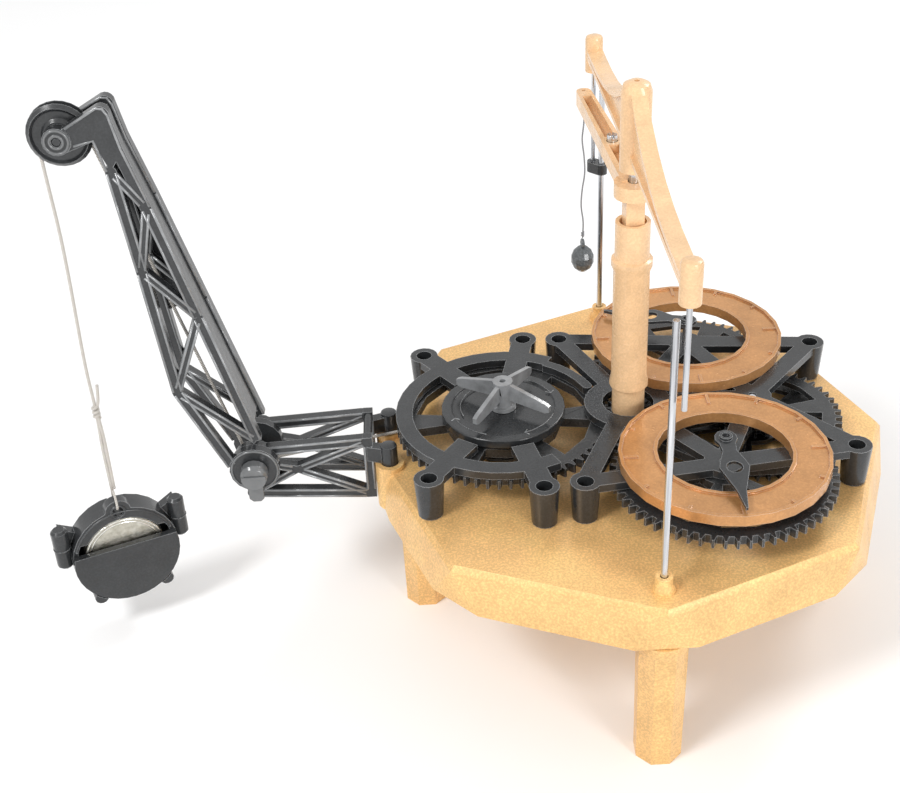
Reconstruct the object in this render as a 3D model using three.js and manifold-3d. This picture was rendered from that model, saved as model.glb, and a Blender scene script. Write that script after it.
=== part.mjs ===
// Flying pendulum clock: a weight-driven clock whose escapement is a ball on a thread.
// Millimetres, +Z up. The feet stand on z = 0. Inside the deck group z = 0 is the top of the
// base plate and x = y = 0 is the axis of the turning column.
import * as THREE from 'three';
import { mergeVertices } from 'three/addons/utils/BufferGeometryUtils.js';
import { ConvexGeometry } from 'three/addons/geometries/ConvexGeometry.js';
import Module from 'manifold-3d';

const wasm = await Module();
wasm.setup();

// Driving sizes
const CLEAR = { seat: 0.15, run: 0.15, air: 0.3, over: 1 };
const WELD = 1e-4;
const SIDES = { fine: 26, coin: 24, round: 16, small: 12, octagon: 8, cord: 8, pin: 8, ring: 6 };
const TURN = { full: 360, half: 180, quarter: 90 };

// Gear train. Pitch radii come from the module; every pair that meshes shares one level.
const MODULE = 1;
const TEETH = {
  great: 60, columnTop: 12, columnLow: 22, third: 50, thirdPinion: 8,
  front: 60, frontPinion: 17, idler: 51, idlerPinion: 14, back: 56,
};
const TOOTH = { addendum: 0.85, dedendum: 1.15, root: 1.6, tip: 0.62, leafRoot: 1.15, leafTip: 0.62 };
const LEVEL = {
  idler: [0.6, 2.0], back: [2.3, 3.7], third: [4.1, 5.9], upper: [6.2, 9.1],
};
const WEB = { rim: 4.6, hub: 7, sleeve: 3 };
const WINDOWS = { drum: 6, third: 6, idler: 5, front: 6, back: 6 };
const WINDOW_SHARE = { drum: 0.72, train: 0.68 };

const PLATE = {
  thick: 13, skin: 3, wall: 2.6, bevel: 1.6, flare: 2.7, trim: 9,
  right: 74, cornerX: 53.4, cornerY: 54.3, beyondRod: 8.5, left: 71, leftHalf: 8.5,
};
const LEG = {
  length: 42.7, topAcross: 13, footAcross: 12.3, collar: 7.35, collarLength: 5.2, inset: 7, sideX: 61.5,
};
const COLLAR_SHARES = { footRadius: 0.86, bulgeRadius: 0.97, bulgeHeight: 0.4, shoulderHeight: 0.75 };
const SPIGOT = { radius: 4, boss: 6.2, depth: 9.4 };

const FRAME = {
  top: 12, thick: 2.4, strut: 5.4, spoke: 6.4, pillarTop: 4.2, pillarFoot: 3.5, bore: 2.35, boreDepth: 9,
};
const LEFT_PILLARS = [[-58.2, 31.3], [-27.5, 37.6]];
const RIGHT_PILLARS = [[-16.4, 36.6], [59, 26.9]];
const RING = { outer: 31, inner: 26.2, spokeIn: 18.8, thinOuter: 28.5, thinInner: 25.6, thinSteps: 4 };
const RING_ANGLES = { wideFrom: 58, wideTo: 297, thinFrom: 21, lap: 1 };
const COLUMN_RING = { outer: 12.6, inner: 7.4 };

const DRUM = {
  disc: 17.8, discTop: 13.1, discFoot: 10.3, cup: 15, cupDepth: 0.5, arbor: 1, hub: 3.2, rim: 25.4,
  spokeHub: 16.4, reel: 9, reelFlange: 12.6, reelFoot: 2.1, flange: 0.7, cord: 0.5,
};
const KEY = {
  hub: 2.9, bore: 0.9, top: 21.6, blade: 1.3, reach: 15.4, tipTop: 18.3, tipFoot: 15.3, rootFoot: 16,
  collar: 3.8, collarTall: 1.2, blades: 4,
};
const KEY_TURN = 55.5;
const CLICK = { wheel: 7.2, bite: 1.1, thick: 0.8, pivot: 10.6, arm: 2.4, pin: 0.8, teeth: 12 };
const CLICK_NOTCH_SHARE = 0.11;

const DIAL = {
  outer: 28.6, inner: 18.1, foot: 12.1, face: 14.7, rimTop: 15.3, rim: 1,
  tickWide: 0.8, tickLong: 4.7, tickShort: 2.1, fromMiddle: 30.9,
};
const DIAL_MARKS = { count: 12, longEvery: 3 };
const ARBOR = { radius: 1, foot: 0.3 };
const HAND = {
  reach: 27, foot: 18.7, thick: 1, head: 3.1, hub: 1.8, hubTop: 20.4, eye: 11.6, eyeRadius: 2.2, wide: 4,
  waist: 1.9, point: 0.3,
};
const HAND_ANGLES = { front: 271, back: 150, droop: 6, head: 135 };
// The hand's half outline: shares of the eye's place or the reach along it, and of a width across.
const HAND_SHARES = {
  rootAlong: 0.45, swellAlong: 0.82, swellWide: 0.88, taperAlong: 1.3, taperWide: 0.74, slimAlong: 0.76,
  slimWide: 0.65,
};

const COLUMN = {
  shaft: 1.5, foot: 9.4, stub: 4.7, ledge: 18.6, ledgeRadius: 5.55, body: 5.05, collar: 58.8,
  collarRadius: 5.7, upper: 4.8, upperTop: 70, cup: 3.7, cupDepth: 1.6, neck: 2.5, neckTall: 7.2, bore: 3.2,
  bush: 8, pinionCore: 3.9,
};
const ROTOR = {
  thick: 4.5, floor: 1.8, hub: 5.4, hubTall: 4, rootHalf: 3.4, tipHalf: 2.2, rim: 0.9, tip: 1.9,
  screwAt: 25.6, screw: 1.5, screwBoss: 3, screwTall: 6.3, eye: 0.6,
};
const ROTOR_TURN = 95.7;
const BALL = { radius: 3.7, tall: 4.5, centre: 25.5, eye: 0.55, eyeRing: 1.15, thread: 0.25, rings: 7 };

const ROD = {
  standing: 0.95, standReach: 68, standBelowBar: 5.5, socketTop: 4.6, socket: 2.3, socketFoot: 3.1, sunk: 2.2,
  hanging: 0.75, apart: 2.3, hangInBar: 6.5, hangFootFront: 56.4, hangBelowLink: 0.7,
};
const CROSSBAR = {
  overScrew: 1.2, head: 4.1, headTall: 24.2, dome: 2.7, domeTop: 1.9, dimple: 0.7, dimpleDepth: 0.8,
  bore: 1.62, boreTall: 17, armFoot: 4, armTall: 24, endTall: 7, web: 1.9, flange: 1.4, rootHalf: 2,
  endHalf: 2.35, boss: 2.65, bossTall: 11, bossDome: 1.1,
};
const CROSSBAR_TURN = 91.9;
const CROSSBAR_CURVE = { steps: 7, power: 3 };
const LINK = { foot: 52.3, tall: 3.4, wall: 0.9 };

const ARM = {
  centreY: 6.5, thick: 2.6, left: -111.4, right: -73.9, topRight: 9.8, topLeft: 8.3, footRight: -11.2,
  footLeft: -8.8, strut: 2.8, brace: 2.2, boss: 6.4, pinX: -69.4, pinY: 8.4, pin: 2.4, pinTop: 7.6,
  pinFoot: -7, socket: 4.2, socketTop: 1.5, ear: 3, spacer: 1.3, crossX: -96, crossZ: 0.2,
};
const PIVOT = { x: -107.8, z: 3.2, bolt: 1.2, sleeve: 1.9, boss: 7.2, head: 3, headLong: 2 };
const BOOM = {
  planeY: -3, inner: 5.4, thick: 2.6, strut: 3, brace: 2.3, web: 1.6, axleX: -145.2, axleZ: 104.8,
  axleBoss: 3.6, axle: 1.1, face: 0.5, bossFace: 0.2, corner: 2.3, plate: 0.9,
};
const BOOM_LEAN_SHARE = 0.029;
const BOOM_PLATE_SHARE = 0.5;
const BOOM_TILT_ANGLES = { room: 17.5, bendFrom: 276, overTo: 178 };
// Panel points of the boom's side truss, lower end first: left edge, then right edge. The last
// right point is the rounded corner where the boom turns towards the pulley.
const BOOM_LEFT = [[-114, 5], [-125.9, 30.2], [-129.9, 67.5], [-133.2, 96]];
const BOOM_RIGHT = [[-106.2, 13], [-117.2, 53.3], [-126, 85.6], [-133.4, 111]];
// Places on the head of the boom's side: the inner corner under the pulley's arm, and the chord's
// right edge where the head's plate ends.
const BOOM_HEAD = { innerX: -136.4, innerZ: 104.2, rightX: -129.2, rightZ: 101.8 };
const WEB_START_SHARE = 0.1;
const LEVER = { radius: 3.95, long: 3.9, dome: 1, tab: 4.3, tabThick: 2.4, tabReach: 8.9 };
const PULLEY = { flange: 8.5, groove: 5.7, half: 2.1, lip: 1.1, hub: 3.8, recess: 0.8 };
const STRING = { radius: 0.45, loop: 2.2, loopTall: 6.4, rise: 0.5, level: 4 };
const LOOP_SHARES = { depth: 0.55, thread: 0.8 };
const STEPS = {
  cord: 2, bend: 5, pulley: 10, loop: 12, loopPoints: 12, bendPoints: 4, pulleyPoints: 10, window: 2, dome: 2,
  cover: 20, head: 4,
};

const WEIGHT = {
  raised: 26, hookZ: -40, body: 15.9, below: 15.1, lug: 3.9, hole: 1.7, back: 3.9, skin: 1.6, front: -2,
  pocket: 2.2, edge: 3.6, sideSlot: 14.4, slotTop: 6.5, clipAt: 17.6, clip: 2.5, clipLow: -0.4,
  clipHigh: 11.6, strap: 3.2, nub: 2.1,
};
const WEIGHT_ANGLES = { yaw: 22, nub: 38.5 };
const NECK_SHARES = { wide: 0.66, low: 0.42 };
const ARM_PIN_SHARE = 0.8;
const CLIP_SHARES = { endRadius: 0.7, endTall: 0.33 };
const COIN = { radius: 12.1, thick: 1.75, gap: 0.15, rim: 0.9, sunk: 0.25, count: 3 };

const COLOURS = {
  base: 0xd9a862, column: 0xe2ad76, dial: 0xbd7f47, black: 0x35373a, steel: 0xc9ccd0,
  string: 0xf1efe9, ball: 0x4a4c50, coin: 0xb9b6ac, thread: 0x77787a,
};

// Derived places
const DECK = LEG.length + PLATE.thick;
// The plate's front and back corners lie beyond the standing rods, the hanging rods between.
const APEX_Y = ROD.standReach + PLATE.beyondRod;
const HANG_REACH = ROD.standReach + ROD.apart;
const pitch = teeth => MODULE * teeth / 2;
const GREAT_X = -(pitch(TEETH.great) + pitch(TEETH.columnTop));
const THIRD_X = pitch(TEETH.columnLow) + pitch(TEETH.third);
const DIAL_SPAN = pitch(TEETH.thirdPinion) + pitch(TEETH.front);
const DIAL_Y = DIAL.fromMiddle;
const DIAL_X = THIRD_X - Math.sqrt(DIAL_SPAN ** 2 - DIAL_Y ** 2);
const FRAME_FOOT = FRAME.top - FRAME.thick;
const HOOK = { x: BOOM.axleX - PULLEY.groove - STRING.radius, z: WEIGHT.hookZ + WEIGHT.raised };
// The stack on the column: neck, rotor with its hub, then the crossbar's foot above them.
const NECK_TOP = COLUMN.upperTop + COLUMN.neckTall;
const ROTOR_FOOT = NECK_TOP + CLEAR.air;
const ROTOR_FLOOR = ROTOR_FOOT + ROTOR.floor;
const ROTOR_TOP = ROTOR_FOOT + ROTOR.thick;
const ROTOR_HUB_TOP = ROTOR_FOOT + ROTOR.hubTall;
const SCREW_TOP = ROTOR_FOOT + ROTOR.screwTall;
const BAR_FOOT = Math.max(ROTOR_HUB_TOP, ROTOR_TOP, SCREW_TOP) + CROSSBAR.overScrew;
const HANG_TOP = BAR_FOOT + ROD.hangInBar;
// Hanging still, the ball just clears the standing rods; in flight its thread catches them.
const ROTOR_REACH = ROD.standReach - ROD.standing - BALL.radius - CLEAR.air;
const CUP_FLOOR = DRUM.discTop - DRUM.cupDepth;
const rad = THREE.MathUtils.degToRad;

// Solids
function toSolid(geometry) {
  const bare = geometry.clone();
  bare.deleteAttribute('normal');
  bare.deleteAttribute('uv');
  const merged = mergeVertices(bare, WELD);
  const source = merged.index.array;
  const kept = [];
  for (let i = 0; i < source.length; i += 3) {
    const [a, b, c] = source.subarray(i, i + 3);
    if (a !== b && b !== c && c !== a) kept.push(a, b, c);
  }
  const vertProperties = Float32Array.from(merged.attributes.position.array);
  return new wasm.Manifold(new wasm.Mesh({ numProp: 3, vertProperties, triVerts: Uint32Array.from(kept) }));
}

function toGeometry(solid) {
  const mesh = solid.getMesh();
  const geometry = new THREE.BufferGeometry();
  geometry.setAttribute('position', new THREE.BufferAttribute(Float32Array.from(mesh.vertProperties), 3));
  geometry.setIndex(new THREE.BufferAttribute(Uint32Array.from(mesh.triVerts), 1));
  geometry.computeVertexNormals();
  return geometry;
}

const join = (...solids) => solids.reduce((sum, solid) => sum.add(solid));
const cut = (solid, ...tools) => tools.reduce((rest, tool) => rest.subtract(tool), solid);

function shapeOf(points, holes = []) {
  const shape = new THREE.Shape(points.map(([x, y]) => new THREE.Vector2(x, y)));
  for (const hole of holes) {
    shape.holes.push(new THREE.Path(hole.map(([x, y]) => new THREE.Vector2(x, y))));
  }
  return shape;
}

// A flat piece with its outline in plan, between two heights.
function slab(points, foot, top, holes) {
  const options = { depth: top - foot, bevelEnabled: false };
  return toSolid(new THREE.ExtrudeGeometry(shapeOf(points, holes), options).translate(0, 0, foot));
}

// A flat piece whose outline is given in x and z, between two y values.
function panel(points, near, far, holes) {
  const options = { depth: far - near, bevelEnabled: false };
  const geometry = new THREE.ExtrudeGeometry(shapeOf(points, holes), options);
  return toSolid(geometry.rotateX(Math.PI / 2).translate(0, far, 0));
}

// A turned piece: its profile of [radius, height] is closed, or closes on the axis.
function turned(profile, sides = SIDES.round, turn = 0) {
  const loop = profile.map(([r, z]) => new THREE.Vector2(r, z));
  loop.push(loop[0].clone());
  return toSolid(new THREE.LatheGeometry(loop, sides).rotateX(Math.PI / 2).rotateZ(turn));
}

const disc = (radius, foot, top, sides) =>
  turned([[0, foot], [radius, foot], [radius, top], [0, top]], sides);
const tube = (outer, inner, foot, top, sides) =>
  turned([[inner, foot], [outer, foot], [outer, top], [inner, top]], sides);

function cone(footRadius, topRadius, foot, top, sides = SIDES.round) {
  return turned([[0, foot], [footRadius, foot], [topRadius, top], [0, top]], sides);
}

// A post with a rounded top: the dome starts below the top and ends in a small flat.
function domed(radius, foot, top, dome, flat, sides = SIDES.round) {
  const round = Array.from({ length: STEPS.dome + 1 }, (_, i) => {
    const a = Math.PI / 2 * i / STEPS.dome;
    return [flat + (radius - flat) * Math.cos(a), top - dome + dome * Math.sin(a)];
  });
  return turned([[0, foot], [radius, foot], ...round, [0, top]], sides);
}

// A round bar along y.
const crossDisc = (radius, near, far, sides) =>
  disc(radius, near, far, sides).rotate([-TURN.quarter, 0, 0]);

function circle(radius, sides, [x, y] = [0, 0]) {
  return Array.from({ length: sides }, (_, i) => {
    const a = 2 * Math.PI * i / sides;
    return [x + radius * Math.cos(a), y + radius * Math.sin(a)];
  });
}

// The four corners of a bar of one width between two points.
function barOutline([x0, y0], [x1, y1], width, width1 = width) {
  const length = Math.hypot(x1 - x0, y1 - y0);
  const nx = -(y1 - y0) / length / 2;
  const ny = (x1 - x0) / length / 2;
  return [
    [x0 - nx * width, y0 - ny * width], [x1 - nx * width1, y1 - ny * width1],
    [x1 + nx * width1, y1 + ny * width1], [x0 + nx * width, y0 + ny * width],
  ];
}

const bar = (from, to, width, foot, top, width1) => slab(barOutline(from, to, width, width1), foot, top);

// A box ring sector, from one bearing to another in degrees.
function sector(outer, inner, from, to, steps) {
  const arc = (radius, a, b) => Array.from({ length: steps + 1 }, (_, i) => {
    const t = rad(a + (b - a) * i / steps);
    return [radius * Math.cos(t), radius * Math.sin(t)];
  });
  return [...arc(outer, from, to), ...arc(inner, to, from)];
}

const polar = (radius, degrees) => [radius * Math.cos(rad(degrees)), radius * Math.sin(rad(degrees))];

// Node helpers
const clock = new THREE.Group();
const deck = new THREE.Group();
deck.position.z = DECK;
clock.add(deck);

function group(x = 0, y = 0, z = 0, turn = 0) {
  const made = new THREE.Group();
  made.position.set(x, y, z);
  made.rotation.z = rad(turn);
  deck.add(made);
  return made;
}

const LOOK = {
  steel: [0.25, 0.9], coin: [0.35, 0.8], string: [0.9, 0], thread: [0.9, 0], black: [0.5, 0], ball: [0.5, 0],
};

function add(parent, name, solid, colour) {
  const [roughness, metalness] = LOOK[colour] ?? [0.55, 0];
  const material = new THREE.MeshStandardMaterial({ color: COLOURS[colour], roughness, metalness });
  const geometry = solid.isBufferGeometry ? solid : toGeometry(solid);
  const mesh = new THREE.Mesh(geometry, material);
  mesh.name = name;
  parent.add(mesh);
  return mesh;
}

// Base plate and legs
const PLATE_CORNERS = [
  [PLATE.right, 0], [PLATE.cornerX, PLATE.cornerY], [0, APEX_Y], [-PLATE.cornerX, PLATE.cornerY],
  [-PLATE.left, PLATE.leftHalf], [-PLATE.left, -PLATE.leftHalf], [-PLATE.cornerX, -PLATE.cornerY],
  [0, -APEX_Y], [PLATE.cornerX, -PLATE.cornerY],
];

// Moves every edge of a convex outline outward by one distance.
function grow(points, distance) {
  const edges = points.map(([x0, y0], i) => {
    const [x1, y1] = points[(i + 1) % points.length];
    const length = Math.hypot(x1 - x0, y1 - y0);
    const n = [(y1 - y0) / length, -(x1 - x0) / length];
    return { n, c: n[0] * x0 + n[1] * y0 + distance };
  });
  return points.map((_, i) => {
    const a = edges[(i + points.length - 1) % points.length];
    const b = edges[i];
    const det = a.n[0] * b.n[1] - a.n[1] * b.n[0];
    return [(a.c * b.n[1] - b.c * a.n[1]) / det, (a.n[0] * b.c - b.n[0] * a.c) / det];
  });
}

// Cuts each corner off at one distance along its two edges.
function trimmed(points, distance) {
  return points.flatMap(([x, y], i) => {
    const ends = [points[(i + points.length - 1) % points.length], points[(i + 1) % points.length]];
    return ends.map(([ex, ey]) => {
      const length = Math.hypot(ex - x, ey - y);
      const step = Math.min(distance, length / 3);
      return [x + (ex - x) * step / length, y + (ey - y) * step / length];
    });
  });
}

const lift = (points, z) => points.map(([x, y]) => new THREE.Vector3(x, y, z));
const hull = (...rings) => toSolid(new ConvexGeometry(rings.flat()));

function plateBody(inset, top) {
  const foot = -PLATE.thick - (inset ? CLEAR.over : 0);
  return hull(
    lift(grow(PLATE_CORNERS, -PLATE.bevel / 2 - inset), top),
    lift(grow(PLATE_CORNERS, PLATE.bevel / 4 - inset), Math.min(top, -PLATE.bevel)),
    lift(trimmed(grow(PLATE_CORNERS, PLATE.flare - inset), PLATE.trim), foot),
  );
}

const LEG_PLACES = {
  leg_front: [0, -APEX_Y + LEG.inset], leg_back: [0, APEX_Y - LEG.inset],
  leg_left: [-LEG.sideX, 0], leg_right: [LEG.sideX, 0],
};

function rodSocket(y) {
  const { socket, socketFoot, socketTop, standing, sunk } = ROD;
  const cup = turned([
    [0, -CLEAR.over], [socketFoot, -CLEAR.over], [socketFoot, 0], [socketFoot, CLEAR.over],
    [socket, socketTop - sunk], [socket, socketTop], [0, socketTop],
  ], SIDES.round);
  const hole = disc(standing + CLEAR.seat, socketTop - sunk, socketTop + CLEAR.over, SIDES.small);
  return { cup: cup.translate([0, y, 0]), hole: hole.translate([0, y, 0]) };
}

function basePlate() {
  const hollow = plateBody(PLATE.wall, -PLATE.skin);
  let plate = cut(plateBody(0, 0), hollow);
  for (const [x, y] of Object.values(LEG_PLACES)) {
    plate = plate.add(disc(SPIGOT.boss, -PLATE.thick, -PLATE.skin / 2, SIDES.small).translate([x, y, 0]));
  }
  for (const side of [-1, 1]) {
    const socket = disc(ARM.socket, -PLATE.thick, ARM.socketTop);
    plate = plate.add(socket.translate([ARM.pinX, side * ARM.pinY, 0]));
  }
  const rods = [-ROD.standReach, ROD.standReach].map(rodSocket);
  plate = join(plate, ...rods.map(r => r.cup));
  plate = cut(plate, ...rods.map(r => r.hole));
  for (const side of [-1, 1]) {
    const hole = disc(ARM.pin + CLEAR.seat, ARM.pinFoot - CLEAR.air, ARM.socketTop + CLEAR.over);
    plate = plate.subtract(hole.translate([ARM.pinX, side * ARM.pinY, 0]));
  }
  const spigotTop = SPIGOT.depth - PLATE.thick + CLEAR.air;
  const spigotHole = disc(SPIGOT.radius + CLEAR.seat, -PLATE.thick - CLEAR.over, spigotTop, SIDES.small);
  for (const [x, y] of Object.values(LEG_PLACES)) plate = plate.subtract(spigotHole.translate([x, y, 0]));
  return plate;
}

// An eight-sided post under a round collar, with a spigot that goes up into the plate.
function leg() {
  const turn = Math.PI / SIDES.octagon;
  const corner = 1 / Math.cos(turn);
  const top = -PLATE.thick - CLEAR.seat;
  const postTop = top - LEG.collarLength / 2;
  const { footRadius, bulgeRadius, bulgeHeight, shoulderHeight } = COLLAR_SHARES;
  const at = share => top - LEG.collarLength * (1 - share);
  const post = turned([
    [0, -DECK], [LEG.footAcross / 2 * corner, -DECK], [LEG.topAcross / 2 * corner, postTop], [0, postTop],
  ], SIDES.octagon, turn);
  const collar = turned([
    [0, at(0)], [LEG.collar * footRadius, at(0)], [LEG.collar * bulgeRadius, at(bulgeHeight)],
    [LEG.collar, at(shoulderHeight)], [LEG.collar, top], [0, top],
  ]);
  return join(post, collar, disc(SPIGOT.radius, top - CLEAR.over, top + SPIGOT.depth, SIDES.small));
}

add(deck, 'base_plate', basePlate(), 'base');
for (const [name, [x, y]] of Object.entries(LEG_PLACES)) add(group(x, y), name, leg(), 'base');

// Black frames over the wheels
function pillar([x, y]) {
  const body = cone(FRAME.pillarFoot, FRAME.pillarTop, CLEAR.seat, FRAME.top);
  return body.translate([x, y, 0]);
}

const pillarBore = ([x, y]) =>
  disc(FRAME.bore, FRAME.top - FRAME.boreDepth, FRAME.top + CLEAR.over, SIDES.small).translate([x, y, 0]);

const bothSides = places => places.flatMap(([x, y]) => [[x, y], [x, -y]]);
const frameBar = (from, to, width = FRAME.strut) => bar(from, to, width, FRAME_FOOT, FRAME.top);

function leftFrame() {
  const pillars = bothSides(LEFT_PILLARS);
  const { outer, inner, thinOuter, thinInner, thinSteps } = RING;
  const { wideFrom, wideTo, thinFrom, lap } = RING_ANGLES;
  const wide = slab(sector(outer, inner, wideFrom, wideTo, SIDES.fine), FRAME_FOOT, FRAME.top);
  const thin = slab(sector(thinOuter, thinInner, thinFrom, wideFrom + lap, thinSteps), FRAME_FOOT, FRAME.top);
  const tip = disc((thinOuter - thinInner) / 2, FRAME_FOOT, FRAME.top, SIDES.small);
  const tipPlace = polar((thinOuter + thinInner) / 2, thinFrom);
  const ring = join(wide, thin, tip.translate([...tipPlace, 0]));
  const spokes = pillars.map(([x, y]) => {
    const share = RING.spokeIn / Math.hypot(x - GREAT_X, y);
    return frameBar([GREAT_X + (x - GREAT_X) * share, y * share], [x, y], FRAME.spoke);
  });
  const body = join(ring.translate([GREAT_X, 0, 0]), ...spokes, ...pillars.map(pillar));
  return cut(body, ...pillars.map(pillarBore));
}

function rightFrame() {
  const pillars = bothSides(RIGHT_PILLARS);
  const [[leftX, leftY], [rightX, rightY]] = RIGHT_PILLARS;
  const third = [THIRD_X, 0];
  const bars = [];
  for (const side of [1, -1]) {
    const left = [leftX, side * leftY];
    const right = [rightX, side * rightY];
    const dial = [DIAL_X, side * DIAL_Y];
    bars.push([left, right], [left, [0, 0]], [third, right], [third, dial], [[0, 0], dial], [dial, right]);
  }
  bars.push([[0, 0], third]);
  const bosses = [third, [DIAL_X, DIAL_Y], [DIAL_X, -DIAL_Y]];
  const body = join(
    disc(COLUMN_RING.outer, FRAME_FOOT, FRAME.top, SIDES.fine),
    ...bars.map(([from, to]) => frameBar(from, to)),
    ...bosses.map(([x, y]) => disc(FRAME.strut, FRAME_FOOT, FRAME.top).translate([x, y, 0])),
    ...pillars.map(pillar),
  );
  const arborHoles = bosses.map(([x, y]) =>
    disc(ARBOR.radius + CLEAR.run, 0, FRAME.top + CLEAR.over, SIDES.small).translate([x, y, 0]));
  const columnHole = disc(COLUMN_RING.inner, 0, FRAME.top + CLEAR.over);
  return cut(body, columnHole, ...arborHoles, ...pillars.map(pillarBore));
}

add(deck, 'left_frame', leftFrame(), 'black');
add(deck, 'right_frame', rightFrame(), 'black');

// Gears
// Wheel teeth taper from root to tip; pinion leaves are slimmer. The gap left at the pitch
// circle is the backlash that lets the pairs turn freely.
function toothed(teeth, module_, kind = 'wheel') {
  const r = module_ * teeth / 2;
  const [rootWide, tipWide] = kind === 'wheel' ? [TOOTH.root, TOOTH.tip] : [TOOTH.leafRoot, TOOTH.leafTip];
  const low = r - TOOTH.dedendum * module_;
  const high = r + TOOTH.addendum * module_;
  const a = rootWide / 2 / low;
  const b = tipWide / 2 / high;
  return Array.from({ length: teeth }, (_, i) => {
    const mid = 2 * Math.PI * i / teeth;
    return [[low, mid - a], [high, mid - b], [high, mid + b], [low, mid + a]]
      .map(([q, t]) => [q * Math.cos(t), q * Math.sin(t)]);
  }).flat();
}

// Turns a toothed wheel so that a gap faces the given bearing, where its partner has a tooth.
const gapTurn = (teeth, bearing) => bearing + TURN.half / teeth;

function windows(inner, outer, count, share) {
  return Array.from({ length: count }, (_, i) => {
    const mid = TURN.full * (i + 1 / 2) / count;
    const half = TURN.half / count * share;
    return sector(outer, inner, mid - half, mid + half, STEPS.window).reverse();
  });
}

const bore = (radius, foot, top) => disc(radius, foot - CLEAR.over, top + CLEAR.over, SIDES.small);

// Drum: great wheel, reel, disc, key
const drum = group(GREAT_X, 0);
const [UPPER_FOOT, UPPER_TOP] = LEVEL.upper;

function greatWheel() {
  const holes = windows(DRUM.spokeHub, DRUM.rim, WINDOWS.drum, WINDOW_SHARE.drum);
  const rim = slab(toothed(TEETH.great, MODULE), UPPER_FOOT, UPPER_TOP, holes);
  return rim.subtract(bore(DRUM.arbor + CLEAR.run, UPPER_FOOT, UPPER_TOP));
}

function reel() {
  const top = UPPER_FOOT - CLEAR.seat;
  const inner = DRUM.arbor + CLEAR.run;
  return turned([
    [inner, DRUM.reelFoot], [DRUM.reelFlange, DRUM.reelFoot], [DRUM.reelFlange, DRUM.reelFoot + DRUM.flange],
    [DRUM.reel, DRUM.reelFoot + DRUM.flange], [DRUM.reel, top - DRUM.flange],
    [DRUM.reelFlange, top - DRUM.flange], [DRUM.reelFlange, top], [inner, top],
  ]);
}

function woundString() {
  const foot = DRUM.reelFoot + DRUM.flange + CLEAR.seat;
  const top = UPPER_FOOT - CLEAR.seat - DRUM.flange - CLEAR.seat;
  return tube(DRUM.reel + CLEAR.seat + 2 * DRUM.cord, DRUM.reel + CLEAR.seat, foot, top, SIDES.round);
}

function drumDisc() {
  const inner = DRUM.arbor + CLEAR.run;
  const cup = turned([
    [inner, UPPER_TOP + CLEAR.seat], [DRUM.hub, UPPER_TOP + CLEAR.seat], [DRUM.hub, DRUM.discFoot],
    [DRUM.disc - CLEAR.air, DRUM.discFoot], [DRUM.disc, DRUM.discFoot + CLEAR.air],
    [DRUM.disc, DRUM.discTop - CLEAR.air], [DRUM.disc - CLEAR.air, DRUM.discTop], [DRUM.cup, DRUM.discTop],
    [DRUM.cup - CLEAR.air, CUP_FLOOR], [inner, CUP_FLOOR],
  ], SIDES.fine);
  return cup.add(ratchetTeeth());
}

// The click catches these teeth, so the key turns the drum one way only.
function ratchetTeeth() {
  const points = Array.from({ length: CLICK.teeth }, (_, i) => {
    const step = TURN.full / CLICK.teeth;
    return [polar(CLICK.wheel, i * step), polar(CLICK.wheel - CLICK.bite, (i + CLICK_NOTCH_SHARE) * step)];
  }).flat();
  const foot = UPPER_TOP + CLEAR.seat;
  const ring = slab(points, foot, foot + CLICK.thick);
  return ring.subtract(disc((DRUM.hub + DRUM.arbor) / 2, foot - CLEAR.over, foot + 2 * CLICK.thick));
}

function clickPawl() {
  const foot = UPPER_TOP + CLEAR.seat;
  const top = foot + CLICK.thick;
  const nose = [-CLICK.pivot + CLICK.wheel + CLEAR.air, -CLICK.arm - CLICK.pin];
  const arm = bar([0, 0], nose, CLICK.arm * 2 / 3, foot, top, CLICK.pin);
  return join(disc(CLICK.arm / 2, foot, top, SIDES.small), arm);
}

// A hollow hub with four blades like paddles, which stay clear of the disc below them.
function windingKey() {
  const foot = CUP_FLOOR + CLEAR.seat;
  const hub = tube(KEY.hub, KEY.bore, foot, KEY.top, SIDES.round);
  const collar = tube(KEY.collar, KEY.bore, foot, foot + KEY.collarTall, SIDES.round);
  const inner = (KEY.hub + KEY.bore) / 2;
  const half = KEY.blade / 2;
  const blade = panel([
    [inner, KEY.rootFoot], [KEY.reach - KEY.blade, KEY.tipFoot], [KEY.reach, KEY.tipFoot + half],
    [KEY.reach, KEY.tipTop - half], [KEY.reach - KEY.blade, KEY.tipTop], [inner, KEY.top - half / 2],
  ], -half, half);
  const blades = Array.from({ length: KEY.blades }, (_, i) =>
    blade.rotate([0, 0, TURN.full / KEY.blades * i + KEY_TURN]));
  return join(hub, collar, ...blades);
}

add(drum, 'great_wheel', greatWheel(), 'black');
add(drum, 'string_reel', reel(), 'black');
add(drum, 'string_winding', woundString(), 'string');
add(drum, 'drum_disc', drumDisc(), 'black');
add(drum, 'winding_key', windingKey(), 'black');
add(drum, 'drum_arbor', disc(DRUM.arbor, CLEAR.seat, CUP_FLOOR - CLEAR.seat, SIDES.pin), 'steel');
add(drum, 'click_pawl', clickPawl(), 'black').position.set(CLICK.pivot, 0, 0);

// Dial train
const third = group(THIRD_X, 0);
const [THIRD_FOOT, THIRD_TOP] = LEVEL.third;
const [IDLER_FOOT, IDLER_TOP] = LEVEL.idler;
const [BACK_FOOT, BACK_TOP] = LEVEL.back;
const DIAL_MODULE = {
  thirdPair: 2 * DIAL_SPAN / (TEETH.thirdPinion + TEETH.front),
  idlerPair: 2 * DIAL_SPAN / (TEETH.frontPinion + TEETH.idler),
  backPair: 2 * DIAL_SPAN / (TEETH.idlerPinion + TEETH.back),
};
const bearingFront = THREE.MathUtils.radToDeg(Math.atan2(-DIAL_Y, DIAL_X - THIRD_X));

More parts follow.
